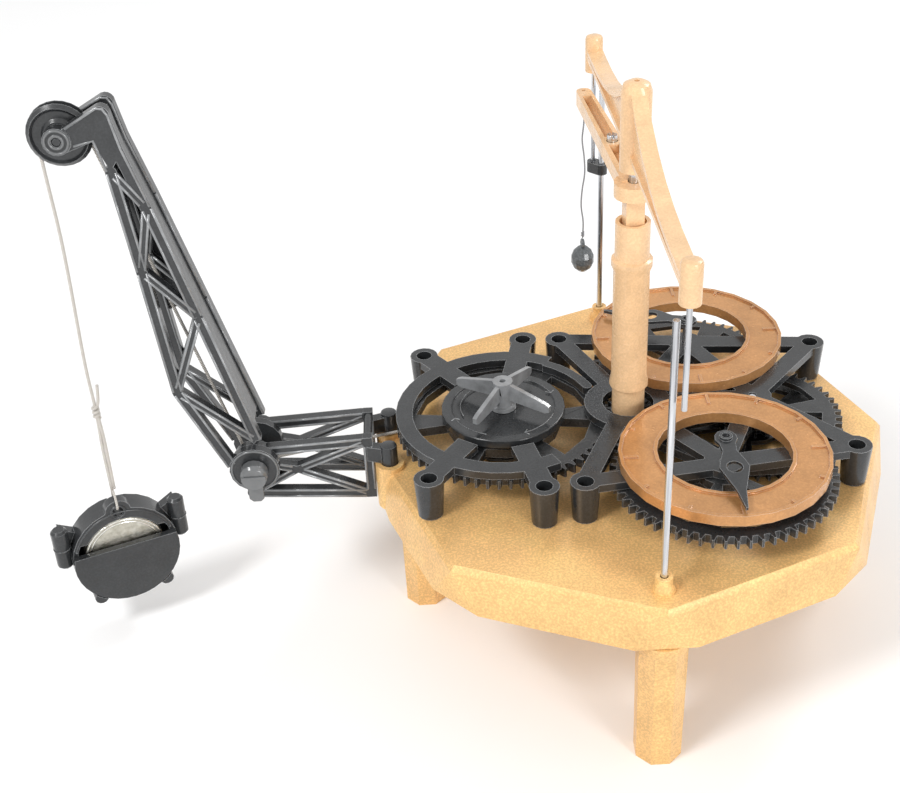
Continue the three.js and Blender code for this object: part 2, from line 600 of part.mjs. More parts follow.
function wheel(teeth, module_, foot, top, shaftBore, turn, rimIn, hubOut, count) {
  const holes = windows(hubOut, rimIn, count, WINDOW_SHARE.train);
  const plate = slab(toothed(teeth, module_), foot, top, holes);
  return plate.subtract(bore(shaftBore, foot, top)).rotate([0, 0, turn]);
}

const pinion = (teeth, module_, foot, top, shaftBore, turn) =>
  slab(toothed(teeth, module_, 'leaf'), foot, top).subtract(bore(shaftBore, foot, top)).rotate([0, 0, turn]);

const SNUG = ARBOR.radius + CLEAR.seat / 2;
const LOOSE = ARBOR.radius + CLEAR.run;

function thirdWheel() {
  const turn = gapTurn(TEETH.third, TURN.half);
  const rim = pitch(TEETH.third) - WEB.rim;
  const flat = wheel(TEETH.third, MODULE, THIRD_FOOT, THIRD_TOP, SNUG, turn, rim, WEB.hub, WINDOWS.third);
  const leavesFoot = THIRD_TOP - CLEAR.seat;
  const leaves = pinion(TEETH.thirdPinion, DIAL_MODULE.thirdPair, leavesFoot, UPPER_TOP, SNUG, bearingFront);
  return flat.add(leaves);
}

function idlerWheel() {
  const turn = gapTurn(TEETH.idler, bearingFront);
  const rim = pitch(TEETH.idler) - WEB.rim;
  const hub = WEB.hub + WEB.rim / 2;
  const module_ = DIAL_MODULE.idlerPair;
  const flat = wheel(TEETH.idler, module_, IDLER_FOOT, IDLER_TOP, LOOSE, turn, rim, hub, WINDOWS.idler);
  const leavesFoot = IDLER_TOP - CLEAR.seat;
  const leaves = pinion(TEETH.idlerPinion, DIAL_MODULE.backPair, leavesFoot, BACK_TOP, LOOSE, -bearingFront);
  return flat.add(leaves);
}

add(third, 'third_wheel', thirdWheel(), 'black');
add(third, 'third_arbor', disc(ARBOR.radius, ARBOR.foot, FRAME.top - CLEAR.air, SIDES.pin), 'steel');
add(third, 'idler_wheel', idlerWheel(), 'black');

const front = group(DIAL_X, -DIAL_Y);
const back = group(DIAL_X, DIAL_Y);

function frontWheel() {
  const turn = gapTurn(TEETH.front, bearingFront + TURN.half);
  const rim = pitch(TEETH.front) - WEB.rim;
  const foot = UPPER_FOOT + CLEAR.air;
  const module_ = DIAL_MODULE.thirdPair;
  const flat = wheel(TEETH.front, module_, foot, UPPER_TOP, SNUG, turn, rim, WEB.hub, WINDOWS.front);
  const sleeve = tube(WEB.sleeve, SNUG, IDLER_TOP - CLEAR.seat, foot + CLEAR.air, SIDES.small);
  const low = [IDLER_FOOT - CLEAR.seat, IDLER_TOP];
  const leaves = pinion(TEETH.frontPinion, DIAL_MODULE.idlerPair, ...low, SNUG, bearingFront + TURN.half);
  return join(flat, sleeve, leaves);
}

function backWheel() {
  const turn = gapTurn(TEETH.back, TURN.half - bearingFront);
  const rim = pitch(TEETH.back) - WEB.rim;
  const module_ = DIAL_MODULE.backPair;
  const flat = wheel(TEETH.back, module_, BACK_FOOT, BACK_TOP, SNUG, turn, rim, WEB.hub, WINDOWS.back);
  return flat.add(tube(WEB.sleeve, SNUG, BACK_TOP - CLEAR.seat, FRAME_FOOT - CLEAR.air, SIDES.small));
}

// A flat ring with a raised rim at both edges and short marks along its outer edge.
function dial() {
  const { outer, inner, foot, face, rimTop, rim } = DIAL;
  const ring = turned([
    [inner, foot], [outer, foot], [outer, rimTop], [outer - rim, rimTop], [outer - rim, face],
    [inner + rim, face], [inner + rim, rimTop], [inner, rimTop],
  ], SIDES.fine);
  const marks = Array.from({ length: DIAL_MARKS.count }, (_, i) => {
    const long = i % DIAL_MARKS.longEvery === 0 ? DIAL.tickLong : DIAL.tickShort;
    const end = outer - rim / 2;
    const mark = bar([end - long, 0], [end, 0], DIAL.tickWide, face - CLEAR.seat, rimTop - CLEAR.seat);
    return mark.rotate([0, 0, TURN.full / DIAL_MARKS.count * i]);
  });
  return join(ring, ...marks);
}

// A pointed blade that swells round an eye and droops towards the dial. Its round head sits on a
// small hub pressed on the arbor.
function hand(turn) {
  const { reach, foot, thick, head, hub, hubTop, eye, eyeRadius, wide, waist, point } = HAND;
  const shares = HAND_SHARES;
  const round = Array.from({ length: STEPS.head + 1 }, (_, i) =>
    polar(head, TURN.half - HAND_ANGLES.head * i / STEPS.head));
  const half = [
    ...round, [eye * shares.rootAlong, waist], [eye * shares.swellAlong, wide * shares.swellWide],
    [eye, wide], [eye * shares.taperAlong, wide * shares.taperWide],
    [reach * shares.slimAlong, waist * shares.slimWide], [reach, point],
  ];
  const under = half.slice(1).map(([x, w]) => [x, -w]);
  const flat = slab([...under, ...half.reverse()], 0, thick, [circle(eyeRadius, SIDES.small, [eye, 0])]);
  const blade = flat.rotate([0, HAND_ANGLES.droop, 0]).translate([0, 0, foot]);
  const boss = tube(hub, SNUG, foot - thick, hubTop, SIDES.small);
  return cut(blade, disc(hub - CLEAR.seat, 0, hubTop, SIDES.small)).add(boss).rotate([0, 0, turn]);
}

// The arbor ends inside the hand's hub, so the hub shows an open end.
const arborPin = () => disc(ARBOR.radius, ARBOR.foot, HAND.hubTop - HAND.thick, SIDES.pin);

add(front, 'front_wheel', frontWheel(), 'black');
add(front, 'front_arbor', arborPin(), 'steel');
add(front, 'front_hand', hand(HAND_ANGLES.front), 'black');
add(front, 'front_dial', dial(), 'dial');
add(back, 'back_wheel', backWheel(), 'black');
add(back, 'back_arbor', arborPin(), 'steel');
add(back, 'back_hand', hand(HAND_ANGLES.back), 'black');
add(back, 'back_dial', dial(), 'dial');

// Turning column
const column = group();

function columnPinions() {
  const shaftBore = COLUMN.shaft + CLEAR.run;
  const topTurn = gapTurn(TEETH.columnTop, TURN.half);
  const top = UPPER_TOP + CLEAR.air / 2;
  const core = tube(COLUMN.pinionCore, shaftBore, IDLER_FOOT, top, SIDES.round);
  const lowEnds = [THIRD_FOOT - CLEAR.air, THIRD_TOP + CLEAR.air / 3];
  const low = pinion(TEETH.columnLow, MODULE, ...lowEnds, shaftBore, 0);
  const high = pinion(TEETH.columnTop, MODULE, UPPER_FOOT, top, shaftBore, topTurn);
  return join(core, low, high);
}

function columnTube() {
  const neckFoot = COLUMN.upperTop - COLUMN.cupDepth - CLEAR.over;
  const half = COLUMN.neck;
  const square = [[half, half], [-half, half], [-half, -half], [half, -half]];
  const neck = slab(square, neckFoot, NECK_TOP).rotate([0, 0, ROTOR_TURN]);
  return columnBarrel().add(neck.subtract(bore(COLUMN.shaft + CLEAR.run, neckFoot, NECK_TOP)));
}

function columnBarrel() {
  const shaftBore = COLUMN.shaft + CLEAR.run;
  const { foot, stub, ledge, ledgeRadius, body, collar, collarRadius, upper, upperTop, cup } = COLUMN;
  const step = ledgeRadius - stub;
  const cupFloor = upperTop - COLUMN.cupDepth;
  return turned([
    [shaftBore, foot], [stub, foot], [stub, ledge], [ledgeRadius, ledge], [ledgeRadius, ledge + step],
    [body, ledge + 4 * step], [body, collar - 4 * step], [collarRadius, collar - 2 * step],
    [collarRadius, collar], [upper, collar + step / 2], [upper, upperTop], [cup, upperTop], [cup, cupFloor],
    [shaftBore, cupFloor], [shaftBore, cupFloor - COLUMN.bush], [COLUMN.bore, cupFloor - COLUMN.bush],
    [COLUMN.bore, foot + COLUMN.bush], [shaftBore, foot + COLUMN.bush],
  ]);
}

// A trough from the hub out to the tip, where the thread hangs from an eye.
function rotorArm() {
  const { hub, rootHalf, tipHalf, rim, tip, screwAt, screw, screwBoss, eye } = ROTOR;
  const end = ROTOR_REACH + tip;
  const beam = bar([0, 0], [end - tip, 0], 2 * rootHalf, ROTOR_FOOT, ROTOR_TOP, 2 * tipHalf);
  const nose = disc(tipHalf, ROTOR_FOOT, ROTOR_TOP).translate([end - tipHalf, 0, 0]);
  const near = [hub + rim, 0];
  const far = [ROTOR_REACH - 2 * tipHalf, 0];
  const inside = 2 * (rootHalf - 2 * rim);
  const trough = bar(near, far, inside, ROTOR_FLOOR, ROTOR_TOP + CLEAR.over, 2 * (tipHalf - rim));
  const boss = disc(screwBoss, ROTOR_FOOT, ROTOR_TOP).translate([screwAt, 0, 0]);
  const hubDisc = disc(hub, ROTOR_FOOT, ROTOR_HUB_TOP, SIDES.round);
  const body = join(cut(join(beam, nose), trough), hubDisc, boss);
  const shaftHole = bore(COLUMN.shaft + CLEAR.run, ROTOR_FOOT, Math.max(ROTOR_HUB_TOP, ROTOR_TOP));
  const screwHole = bore(screw + CLEAR.seat, ROTOR_FLOOR, ROTOR_TOP).translate([screwAt, 0, 0]);
  const threadHole = bore(eye, ROTOR_FOOT, ROTOR_TOP).translate([ROTOR_REACH, 0, 0]);
  return cut(body, shaftHole, screwHole, threadHole);
}

function clampScrew() {
  const { screw } = ROTOR;
  const body = disc(screw, ROTOR_FLOOR - CLEAR.over + CLEAR.air, SCREW_TOP, SIDES.small);
  const end = screw + CLEAR.over;
  return body.subtract(bar([-end, 0], [end, 0], screw / 3, SCREW_TOP - screw / 2, SCREW_TOP + CLEAR.over));
}

const rotor = new THREE.Group();
rotor.rotation.z = rad(ROTOR_TURN);
column.add(rotor);
const shaftTop = BAR_FOOT + CROSSBAR.boreTall - CLEAR.air;
add(column, 'column_pinions', columnPinions(), 'black');
add(column, 'column_tube', columnTube(), 'column');
add(column, 'centre_shaft', disc(COLUMN.shaft, CLEAR.seat, shaftTop, SIDES.small), 'steel');
add(rotor, 'rotor_arm', rotorArm(), 'column');
add(rotor, 'clamp_screw', clampScrew(), 'steel').position.x = ROTOR.screwAt;

// The pendulum hangs from the eye at the rotor's tip.
const pendulum = new THREE.Group();
pendulum.position.x = ROTOR_REACH;
rotor.add(pendulum);

function ball() {
  const { radius, tall, centre, eye, eyeRing, rings } = BALL;
  const profile = Array.from({ length: rings + 1 }, (_, i) => {
    const a = -Math.PI / 2 + Math.PI * i / rings;
    return [radius * Math.cos(a), centre + tall * Math.sin(a)];
  });
  profile[0][0] = 0;
  profile[rings][0] = 0;
  const ring = new THREE.TorusGeometry(eyeRing, eye, SIDES.ring, SIDES.small).rotateX(Math.PI / 2);
  return turned(profile, SIDES.round).add(toSolid(ring.translate(0, 0, centre + tall + eyeRing - eye / 2)));
}

// A plain round line along a smooth curve through points.
function cord(points, radius, steps = STEPS.cord, sides = SIDES.cord) {
  const curve = new THREE.CatmullRomCurve3(points.map(p => new THREE.Vector3(...p)));
  const options = { steps, extrudePath: curve, bevelEnabled: false };
  return toSolid(new THREE.ExtrudeGeometry(shapeOf(circle(radius, sides)), options));
}

// The free thread starts just under the rotor's tip, so it can swing without touching the eye.
const ballEyeTop = BALL.centre + BALL.tall + 2 * BALL.eyeRing + BALL.eye + CLEAR.air;
const threadTop = ROTOR_FOOT - CLEAR.air;
add(pendulum, 'pendulum_ball', ball(), 'ball');
add(pendulum, 'pendulum_thread', cord([[0, 0, threadTop], [0, 0, ballEyeTop]], BALL.thread), 'thread');

// Rods and crossbar
const rodFoot = ROD.socketTop - ROD.sunk + CLEAR.seat;
const rodTop = BAR_FOOT - ROD.standBelowBar;
for (const [name, y] of [['standing_rod_front', -ROD.standReach], ['standing_rod_back', ROD.standReach]]) {
  add(group(0, y), name, disc(ROD.standing, rodFoot, rodTop, SIDES.pin), 'steel');
}

const crossbarGroup = group(0, 0, 0, CROSSBAR_TURN);

// One arm of the crossbar: a web between two flanges, its top edge falling in a hollow curve
// from the head to the boss that holds a hanging rod.
function crossbarArm() {
  const { web, flange, rootHalf, endHalf, boss, bossTall, bossDome } = CROSSBAR;
  const { steps, power } = CROSSBAR_CURVE;
  const foot = BAR_FOOT + CROSSBAR.armFoot;
  const reach = HANG_REACH;
  const drop = CROSSBAR.armTall - CROSSBAR.endTall;
  const topAt = share => BAR_FOOT + CROSSBAR.endTall + drop * (1 - share) ** power;
  const edge = Array.from({ length: steps + 1 }, (_, i) => [reach * i / steps, topAt(i / steps)]);
  const wall = panel([...edge, [reach, foot], [0, foot]], -web / 2, web / 2);
  const cap = [...edge, ...edge.map(([x, z]) => [x, z - flange]).reverse()];
  const plan = barOutline([0, 0], [reach, 0], 2 * rootHalf, 2 * endHalf);
  const inPlan = slab(plan, foot, BAR_FOOT + CROSSBAR.headTall);
  const caps = panel(cap, -endHalf, endHalf).intersect(inPlan);
  const sole = slab(plan, foot, foot + flange);
  const end = domed(boss, BAR_FOOT, BAR_FOOT + bossTall, bossDome, boss - bossDome, SIDES.round);
  return join(wall, caps, sole, end.translate([reach, 0, 0]));
}

const HANGING_TURNS = [0, TURN.half];

function crossbar() {
  const { head, headTall, dome, domeTop, dimple, dimpleDepth, bore: holeRadius, boreTall } = CROSSBAR;
  const top = BAR_FOOT + headTall;
  const arm = crossbarArm();
  const post = domed(head, BAR_FOOT, top, dome, domeTop, SIDES.round);
  const body = join(...HANGING_TURNS.map(turn => arm.rotate([0, 0, turn])), post);
  const rodHole = disc(ROD.hanging + CLEAR.seat, BAR_FOOT - CLEAR.over, HANG_TOP + CLEAR.seat, SIDES.small);
  const shaftHole = disc(holeRadius, BAR_FOOT - CLEAR.over, BAR_FOOT + boreTall, SIDES.small);
  const topDimple = disc(dimple, top - dimpleDepth, top + CLEAR.over, SIDES.small);
  const rodHoles = HANGING_TURNS.map(turn => rodHole.translate([...polar(HANG_REACH, turn), 0]));
  return cut(body, ...rodHoles, shaftHole, topDimple);
}

add(crossbarGroup, 'crossbar', crossbar(), 'column');
const HANGING_RODS = [
  ['hanging_rod_back', LINK.foot - ROD.hangBelowLink],
  ['hanging_rod_front', ROD.hangFootFront],
];
HANGING_RODS.forEach(([name, foot], i) => {
  const [x, y] = polar(HANG_REACH, HANGING_TURNS[i]);
  add(crossbarGroup, name, disc(ROD.hanging, foot, HANG_TOP, SIDES.pin), 'steel').position.set(x, y, 0);
});

// The link ties the back standing rod to the back hanging rod.
function linkRing() {
  const from = polar(HANG_REACH, CROSSBAR_TURN);
  const to = [0, ROD.standReach];
  const wide = 2 * (ROD.standing + LINK.wall);
  const top = LINK.foot + LINK.tall;
  const ends = [from, to].map(place => disc(wide / 2, LINK.foot, top).translate([...place, 0]));
  const holes = [[from, ROD.hanging], [to, ROD.standing]].map(([place, radius]) =>
    bore(radius + CLEAR.seat, LINK.foot, top).translate([...place, 0]));
  return cut(join(bar(from, to, wide, LINK.foot, top), ...ends), ...holes);
}

add(deck, 'link_ring', linkRing(), 'black');

// Lower arm
const strutPanel = (from, to, width, near, far) => panel(barOutline(from, to, width), near, far);

function armSide(side) {
  const near = side * ARM.centreY - ARM.thick / 2;
  const far = near + ARM.thick;
  const post = ARM.right - ARM.strut / 2;
  const topRight = [post, ARM.topRight - ARM.strut / 2];
  const footRight = [post, ARM.footRight + ARM.strut / 2];
  const topLeft = [PIVOT.x, ARM.topLeft - ARM.strut / 2];
  const footLeft = [ARM.left + ARM.strut / 2, ARM.footLeft + ARM.strut / 2];
  const centre = [ARM.crossX, ARM.crossZ];
  const hinge = [PIVOT.x, PIVOT.z];
  const bars = [
    [topLeft, topRight, ARM.strut], [footLeft, footRight, ARM.strut], [footLeft, hinge, ARM.strut],
    [[post, ARM.footRight], [post, ARM.topRight], ARM.strut], [topRight, centre, ARM.brace],
    [centre, footLeft, ARM.brace], [centre, footRight, ARM.brace], [centre, hinge, ARM.brace],
  ];
  const plate = join(...bars.map(([from, to, width]) => strutPanel(from, to, width, near, far)));
  const corners = [topRight, footRight, footLeft].map(([x, z]) =>
    crossDisc(ARM.strut / 2, near, far, SIDES.small).translate([x, 0, z]));
  const boss = crossDisc(ARM.boss, near, far).translate([PIVOT.x, 0, PIVOT.z]);
  const body = join(plate, ...corners, boss, armPin(side, post));
  const hole = crossDisc(PIVOT.bolt + CLEAR.run, near - CLEAR.over, far + CLEAR.over, SIDES.small);
  return body.subtract(hole.translate([PIVOT.x, 0, PIVOT.z]));
}

// The ear at the arm's end and the round-topped pin that stands in the plate's socket.
function armPin(side, post) {
  const place = [ARM.pinX, side * ARM.pinY];
  const shoulder = ARM.pin * (1 - ARM_PIN_SHARE);
  const earFoot = ARM.socketTop + CLEAR.air;
  const ear = bar([post, side * ARM.centreY], place, ARM.ear, earFoot, ARM.pinTop - 2 * shoulder);
  const pin = domed(ARM.pin, ARM.pinFoot, ARM.pinTop, shoulder, ARM.pin - shoulder);
  return ear.add(pin.translate([...place, 0]));
}

// A rod across the arm from one side plate to the other.
function armRod(x, z) {
  const half = ARM.centreY - ARM.thick / 2 - CLEAR.seat;
  return crossDisc(ARM.spacer, -half, half, SIDES.small).translate([x, 0, z]);
}

// The front side carries the two lower rods, the tie at the top is a piece of its own.
function armFrontSide() {
  const low = armRod(ARM.right - ARM.strut / 2, ARM.footRight + ARM.strut / 2);
  const outer = armRod(ARM.left + ARM.strut / 2, ARM.footLeft + ARM.strut / 2);
  const reachIn = [0, -2 * CLEAR.seat, 0];
  return join(armSide(-1), low, outer, low.translate(reachIn), outer.translate(reachIn));
}

add(deck, 'arm_side_front', armFrontSide(), 'black');
add(deck, 'arm_side_back', armSide(1), 'black');
add(deck, 'arm_tie', armRod(ARM.right - ARM.strut / 2, ARM.topRight - ARM.strut / 2), 'black');

// Boom
// The boom's middle plane lies in front of the deck's, so its front side passes outside the arm
// and its back side passes inside it. The two sides lean together towards the pulley.
const BOOM_FRONT = -BOOM.inner - BOOM.thick - BOOM.bossFace;
const ARM_BACK = ARM.centreY + ARM.thick / 2 - BOOM.planeY;
function leanInward(solid, side) {
  const lean = side * BOOM_LEAN_SHARE;
  const rows = new THREE.Matrix4().set(1, 0, 0, 0, 0, 1, -lean, lean * PIVOT.z, 0, 0, 1, 0, 0, 0, 0, 1);
  return solid.transform(rows.elements);
}

function boomSide(side) {
  const near = side > 0 ? BOOM.inner : -BOOM.inner - BOOM.thick;
  const far = near + BOOM.thick;
  const [l0, l1, l2, l3] = BOOM_LEFT;
  const [r0, r1, r2, r3] = BOOM_RIGHT;
  const edges = [[l0, l1], [l1, l2], [l2, l3], [r0, r1], [r1, r2], [r2, r3]];
  const braces = [[l1, r0], [l1, r1], [r1, l2], [l2, r2], [r2, l3]];
  const bars = [
    ...edges.map(([a, b]) => strutPanel(a, b, BOOM.strut, near, far)),
    ...braces.map(([a, b]) => strutPanel(a, b, BOOM.brace, near, far)),
    ...[l1, l2, l3, r1, r2].map(([x, z]) =>
      crossDisc(BOOM.strut / 2, near, far, SIDES.small).translate([x, 0, z])),
  ];
  const corner = crossDisc(BOOM.corner, near, far).translate([r3[0], 0, r3[1]]);
  const face = side > 0 ? [near, far + BOOM.face] : [near - BOOM.face, far];
  const axleBoss = crossDisc(BOOM.axleBoss, ...face).translate([BOOM.axleX, 0, BOOM.axleZ]);
  const head = panel(headOutline(), near, far);
  const closing = side > 0 ? [panel(boomPlateOutline(), far - BOOM.plate, far)] : [];
  const leaning = leanInward(join(...bars, corner, head, axleBoss, ...closing), side);
  const bossEnds = side > 0 ? [near, far] : [near - BOOM.bossFace, far];
  const pivotBoss = crossDisc(PIVOT.boss, ...bossEnds).translate([PIVOT.x, 0, PIVOT.z]);
  const boltHole = crossDisc(PIVOT.bolt + CLEAR.run, 2 * BOOM_FRONT, -2 * BOOM_FRONT, SIDES.small);
  const axleHole = crossDisc(BOOM.axle + CLEAR.seat, 2 * BOOM_FRONT, -2 * BOOM_FRONT, SIDES.small);
  return cut(join(leaning, pivotBoss), boltHole.translate([PIVOT.x, 0, PIVOT.z]),
    axleHole.translate([BOOM.axleX, 0, BOOM.axleZ]));
}

// The back side is closed by a thin plate between its chords, from halfway up the lowest panel.
function boomPlateOutline() {
  const [, l1, l2, l3] = BOOM_LEFT;
  const [, r1, r2] = BOOM_RIGHT;
  const foot = l1.map((value, i) => value + (l2[i] - value) * BOOM_PLATE_SHARE);
  return [foot, r1, r2, [BOOM_HEAD.rightX, BOOM_HEAD.rightZ], l3, l2];
}

// The plate that carries the pulley: from the chord's edges over the rounded corner to the axle
// boss, and back along the underside to the inner corner.
function headOutline() {
  const corner = BOOM_RIGHT[3];
  const axle = [BOOM.axleX, BOOM.axleZ];
  const run = [corner[0] - axle[0], corner[1] - axle[1]];
  const length = Math.hypot(...run);
  const up = [-run[1] / length, run[0] / length];
  const offset = ([x, z], distance) => [x + up[0] * distance, z + up[1] * distance];
  return [
    [BOOM_HEAD.innerX, BOOM_HEAD.innerZ], BOOM_LEFT[3], [BOOM_HEAD.rightX, BOOM_HEAD.rightZ],
    [corner[0] + BOOM.corner, corner[1]], offset(corner, BOOM.corner), offset(axle, BOOM.axleBoss / 2),
    offset(axle, -BOOM.axleBoss),
  ];
}

// The web closes the boom's upper edge between the two sides.
function boomWeb() {
  const half = BOOM.inner - CLEAR.seat;
  const [[x0, z0], [x1, z1]] = BOOM_RIGHT;
  const start = [x0 + (x1 - x0) * WEB_START_SHARE, z0 + (z1 - z0) * WEB_START_SHARE];
  const knees = BOOM_RIGHT.slice(1);
  const chain = [start, ...knees];
  const bars = knees.map((to, i) => strutPanel(chain[i], to, BOOM.web, -half, half));
  const joints = knees.slice(0, -1).map(([x, z]) =>
    crossDisc(BOOM.web / 2, -half, half, SIDES.small).translate([x, 0, z]));
  return cut(join(...bars, ...joints), ...[1, -1].map(outsideBoom));
}

// All the space beyond one side's inner face, less the seat clearance.
function outsideBoom(side) {
  const span = 2 * BOOM.axleZ;
  const inner = BOOM.inner - CLEAR.seat;
  const ends = side > 0 ? [inner, inner + span] : [-inner - span, -inner];
  const outline = [[-2 * span, -span], [span, -span], [span, span], [-2 * span, span]];
  return leanInward(panel(outline, ...ends), side);
}

const boom = group(0, BOOM.planeY);
add(boom, 'boom_side_front', boomSide(-1), 'black');
add(boom, 'boom_side_back', boomSide(1), 'black');
add(boom, 'boom_web', boomWeb(), 'black');

function pivotBolt() {
  const shank = crossDisc(PIVOT.bolt, BOOM_FRONT - LEVER.long / 2, ARM_BACK + CLEAR.air, SIDES.pin);
  const head = crossDisc(PIVOT.head, ARM_BACK + CLEAR.air, ARM_BACK + CLEAR.air + PIVOT.headLong);
  return join(shank, head);
}

function pivotLever() {
  const { radius, long, dome, tab: wide, tabThick, tabReach } = LEVER;
  const near = BOOM_FRONT - CLEAR.air;
  const profile = [[0, 0], [radius, 0], [radius, long - dome], [radius - dome, long], [0, long]];
  const knob = turned(profile).rotate([TURN.quarter, 0, 0]);
  const half = wide / 2;
  const tab = panel([
    [-half, 0], [-half, -tabReach + dome], [-half + dome, -tabReach], [half - dome, -tabReach],
    [half, -tabReach + dome], [half, 0],
  ], -long + dome, -long + dome + tabThick);
  const holeFoot = BOOM_FRONT - long / 2 - CLEAR.seat;
  const hole = crossDisc(PIVOT.bolt + CLEAR.seat, holeFoot, 0, SIDES.small);
  return join(knob, tab).translate([0, near, 0]).subtract(hole);
}

function pivotSleeve() {
  const near = -ARM.centreY + ARM.thick / 2 - BOOM.planeY + CLEAR.air;
  const far = BOOM.inner - CLEAR.air;
  const hole = crossDisc(PIVOT.bolt + CLEAR.run, near - CLEAR.over, far + CLEAR.over, SIDES.small);
  return cut(crossDisc(PIVOT.sleeve, near, far), hole);
}

function pulley() {
  const { flange, groove, half, lip, hub, recess } = PULLEY;
  const inner = BOOM.axle + CLEAR.run;
  const nearSide = [
    [hub, -half], [hub + recess, -half + recess], [flange - lip - recess, -half + recess],
    [flange - lip, -half], [flange, -half + lip], [groove, -lip / 2],
  ];
  const farSide = nearSide.map(([r, y]) => [r, -y]).reverse();
  const profile = [[inner, -half], ...nearSide, ...farSide, [inner, half]];
  return turned(profile, SIDES.fine).rotate([-TURN.quarter, 0, 0]);
}

const axleHalf = BOOM.inner + BOOM.thick + BOOM.face - BOOM_LEAN_SHARE * (BOOM.axleZ - PIVOT.z);
add(boom, 'pivot_bolt', pivotBolt(), 'steel').position.set(PIVOT.x, 0, PIVOT.z);
add(boom, 'pivot_sleeve', pivotSleeve(), 'black').position.set(PIVOT.x, 0, PIVOT.z);
add(boom, 'pivot_lever', pivotLever(), 'black').position.set(PIVOT.x, 0, PIVOT.z);
add(boom, 'pulley', pulley(), 'black').position.set(BOOM.axleX, 0, BOOM.axleZ);
add(boom, 'pulley_axle', crossDisc(BOOM.axle, -axleHalf, axleHalf, SIDES.pin), 'black')
  .position.set(BOOM.axleX, 0, BOOM.axleZ);

// String
// From the reel through the arm, under the pivot sleeve, up the boom, over the pulley and down.
const wrap = PIVOT.sleeve + STRING.radius + CLEAR.seat;
const grooveLine = PULLEY.groove + STRING.radius;
const { room: tiltRoom, bendFrom, overTo } = BOOM_TILT_ANGLES;
const boomRun = [BOOM.axleX - PIVOT.x, BOOM.axleZ - PIVOT.z];
const crossing = Math.asin((wrap + grooveLine) / Math.hypot(...boomRun));
const runTurn = THREE.MathUtils.radToDeg(Math.atan2(boomRun[1], boomRun[0]) - crossing) - TURN.quarter;
const arcPoints = (x, z, radius, from, to, count) => Array.from({ length: count + 1 }, (_, i) => {
  const [dx, dz] = polar(radius, from + (to - from) * i / count);
  return [x + dx, 0, z + dz];
});

// The straight run from the reel, which it leaves as a tangent, to the foot of the pivot sleeve.
function armRun() {
  const radius = DRUM.reel + 2 * DRUM.cord + STRING.radius + 2 * CLEAR.seat;
  const span = Math.hypot(GREAT_X - PIVOT.x, BOOM.planeY);
  const bearing = Math.atan2(-BOOM.planeY, GREAT_X - PIVOT.x) + Math.asin(radius / span);
  const length = Math.sqrt(span ** 2 - radius ** 2);
  return [
    [PIVOT.x + length * Math.cos(bearing), BOOM.planeY + length * Math.sin(bearing), STRING.level],
    [PIVOT.x, BOOM.planeY, PIVOT.z - wrap],
  ];
}

// The bend under the sleeve stays with the arm; the boom's run starts where it leaves the sleeve.
function armString() {
  const bendTo = TURN.half + runTurn + tiltRoom;
  const bend = arcPoints(PIVOT.x, PIVOT.z, wrap, bendFrom, bendTo, STEPS.bendPoints)
    .map(([x, y, z]) => [x, y + BOOM.planeY, z]);
  return join(cord(armRun(), STRING.radius), cord(bend, STRING.radius, STEPS.bend));
}

const boomFootTurn = TURN.half + runTurn;
const overLine = grooveLine + CLEAR.seat;
const boomFoot = arcPoints(PIVOT.x, PIVOT.z, wrap + CLEAR.seat, boomFootTurn, boomFootTurn, 1)[0];
const boomTop = arcPoints(BOOM.axleX, BOOM.axleZ, overLine, runTurn, runTurn, 1)[0];
const overEnds = [runTurn + tiltRoom, overTo];
const overPulley = arcPoints(BOOM.axleX, BOOM.axleZ, overLine, ...overEnds, STEPS.pulleyPoints);
const dropTop = [HOOK.x, 0, BOOM.axleZ];
const dropFoot = [HOOK.x, 0, HOOK.z + STRING.rise + STRING.loopTall + STRING.radius + CLEAR.air];

add(deck, 'string_in_arm', armString(), 'string');
add(boom, 'string_in_boom', cord([boomFoot, boomTop], STRING.radius), 'string');
add(boom, 'string_over_pulley', cord(overPulley, STRING.radius, STEPS.pulley), 'string');
add(boom, 'string_drop', cord([dropTop, dropFoot], STRING.radius), 'string');

// The loop at the string's end runs through the lug's hole; its knot sits where it closes.
function stringLoop() {
  const { loop, loopTall, rise, radius } = STRING;
  const front = -WEIGHT.back - loop / 2;
  const around = Array.from({ length: STEPS.loopPoints }, (_, i) => {
    const a = 2 * Math.PI * i / STEPS.loopPoints - Math.PI / 2;
    const height = rise + loopTall / 2 + loopTall / 2 * Math.sin(a);
    return new THREE.Vector3(0, front * LOOP_SHARES.depth * Math.cos(a), height);
  });
  const extrudePath = new THREE.CatmullRomCurve3(around, true);
  const section = shapeOf(circle(radius * LOOP_SHARES.thread, SIDES.cord));
  const options = { steps: STEPS.loop, extrudePath, bevelEnabled: false };
  return toSolid(new THREE.ExtrudeGeometry(section, options));
}

// Coin holder
const weight = group(HOOK.x, BOOM.planeY, HOOK.z, WEIGHT_ANGLES.yaw);
const holder = new THREE.Group();
holder.position.y = -(WEIGHT.front + WEIGHT.skin);
weight.add(holder);

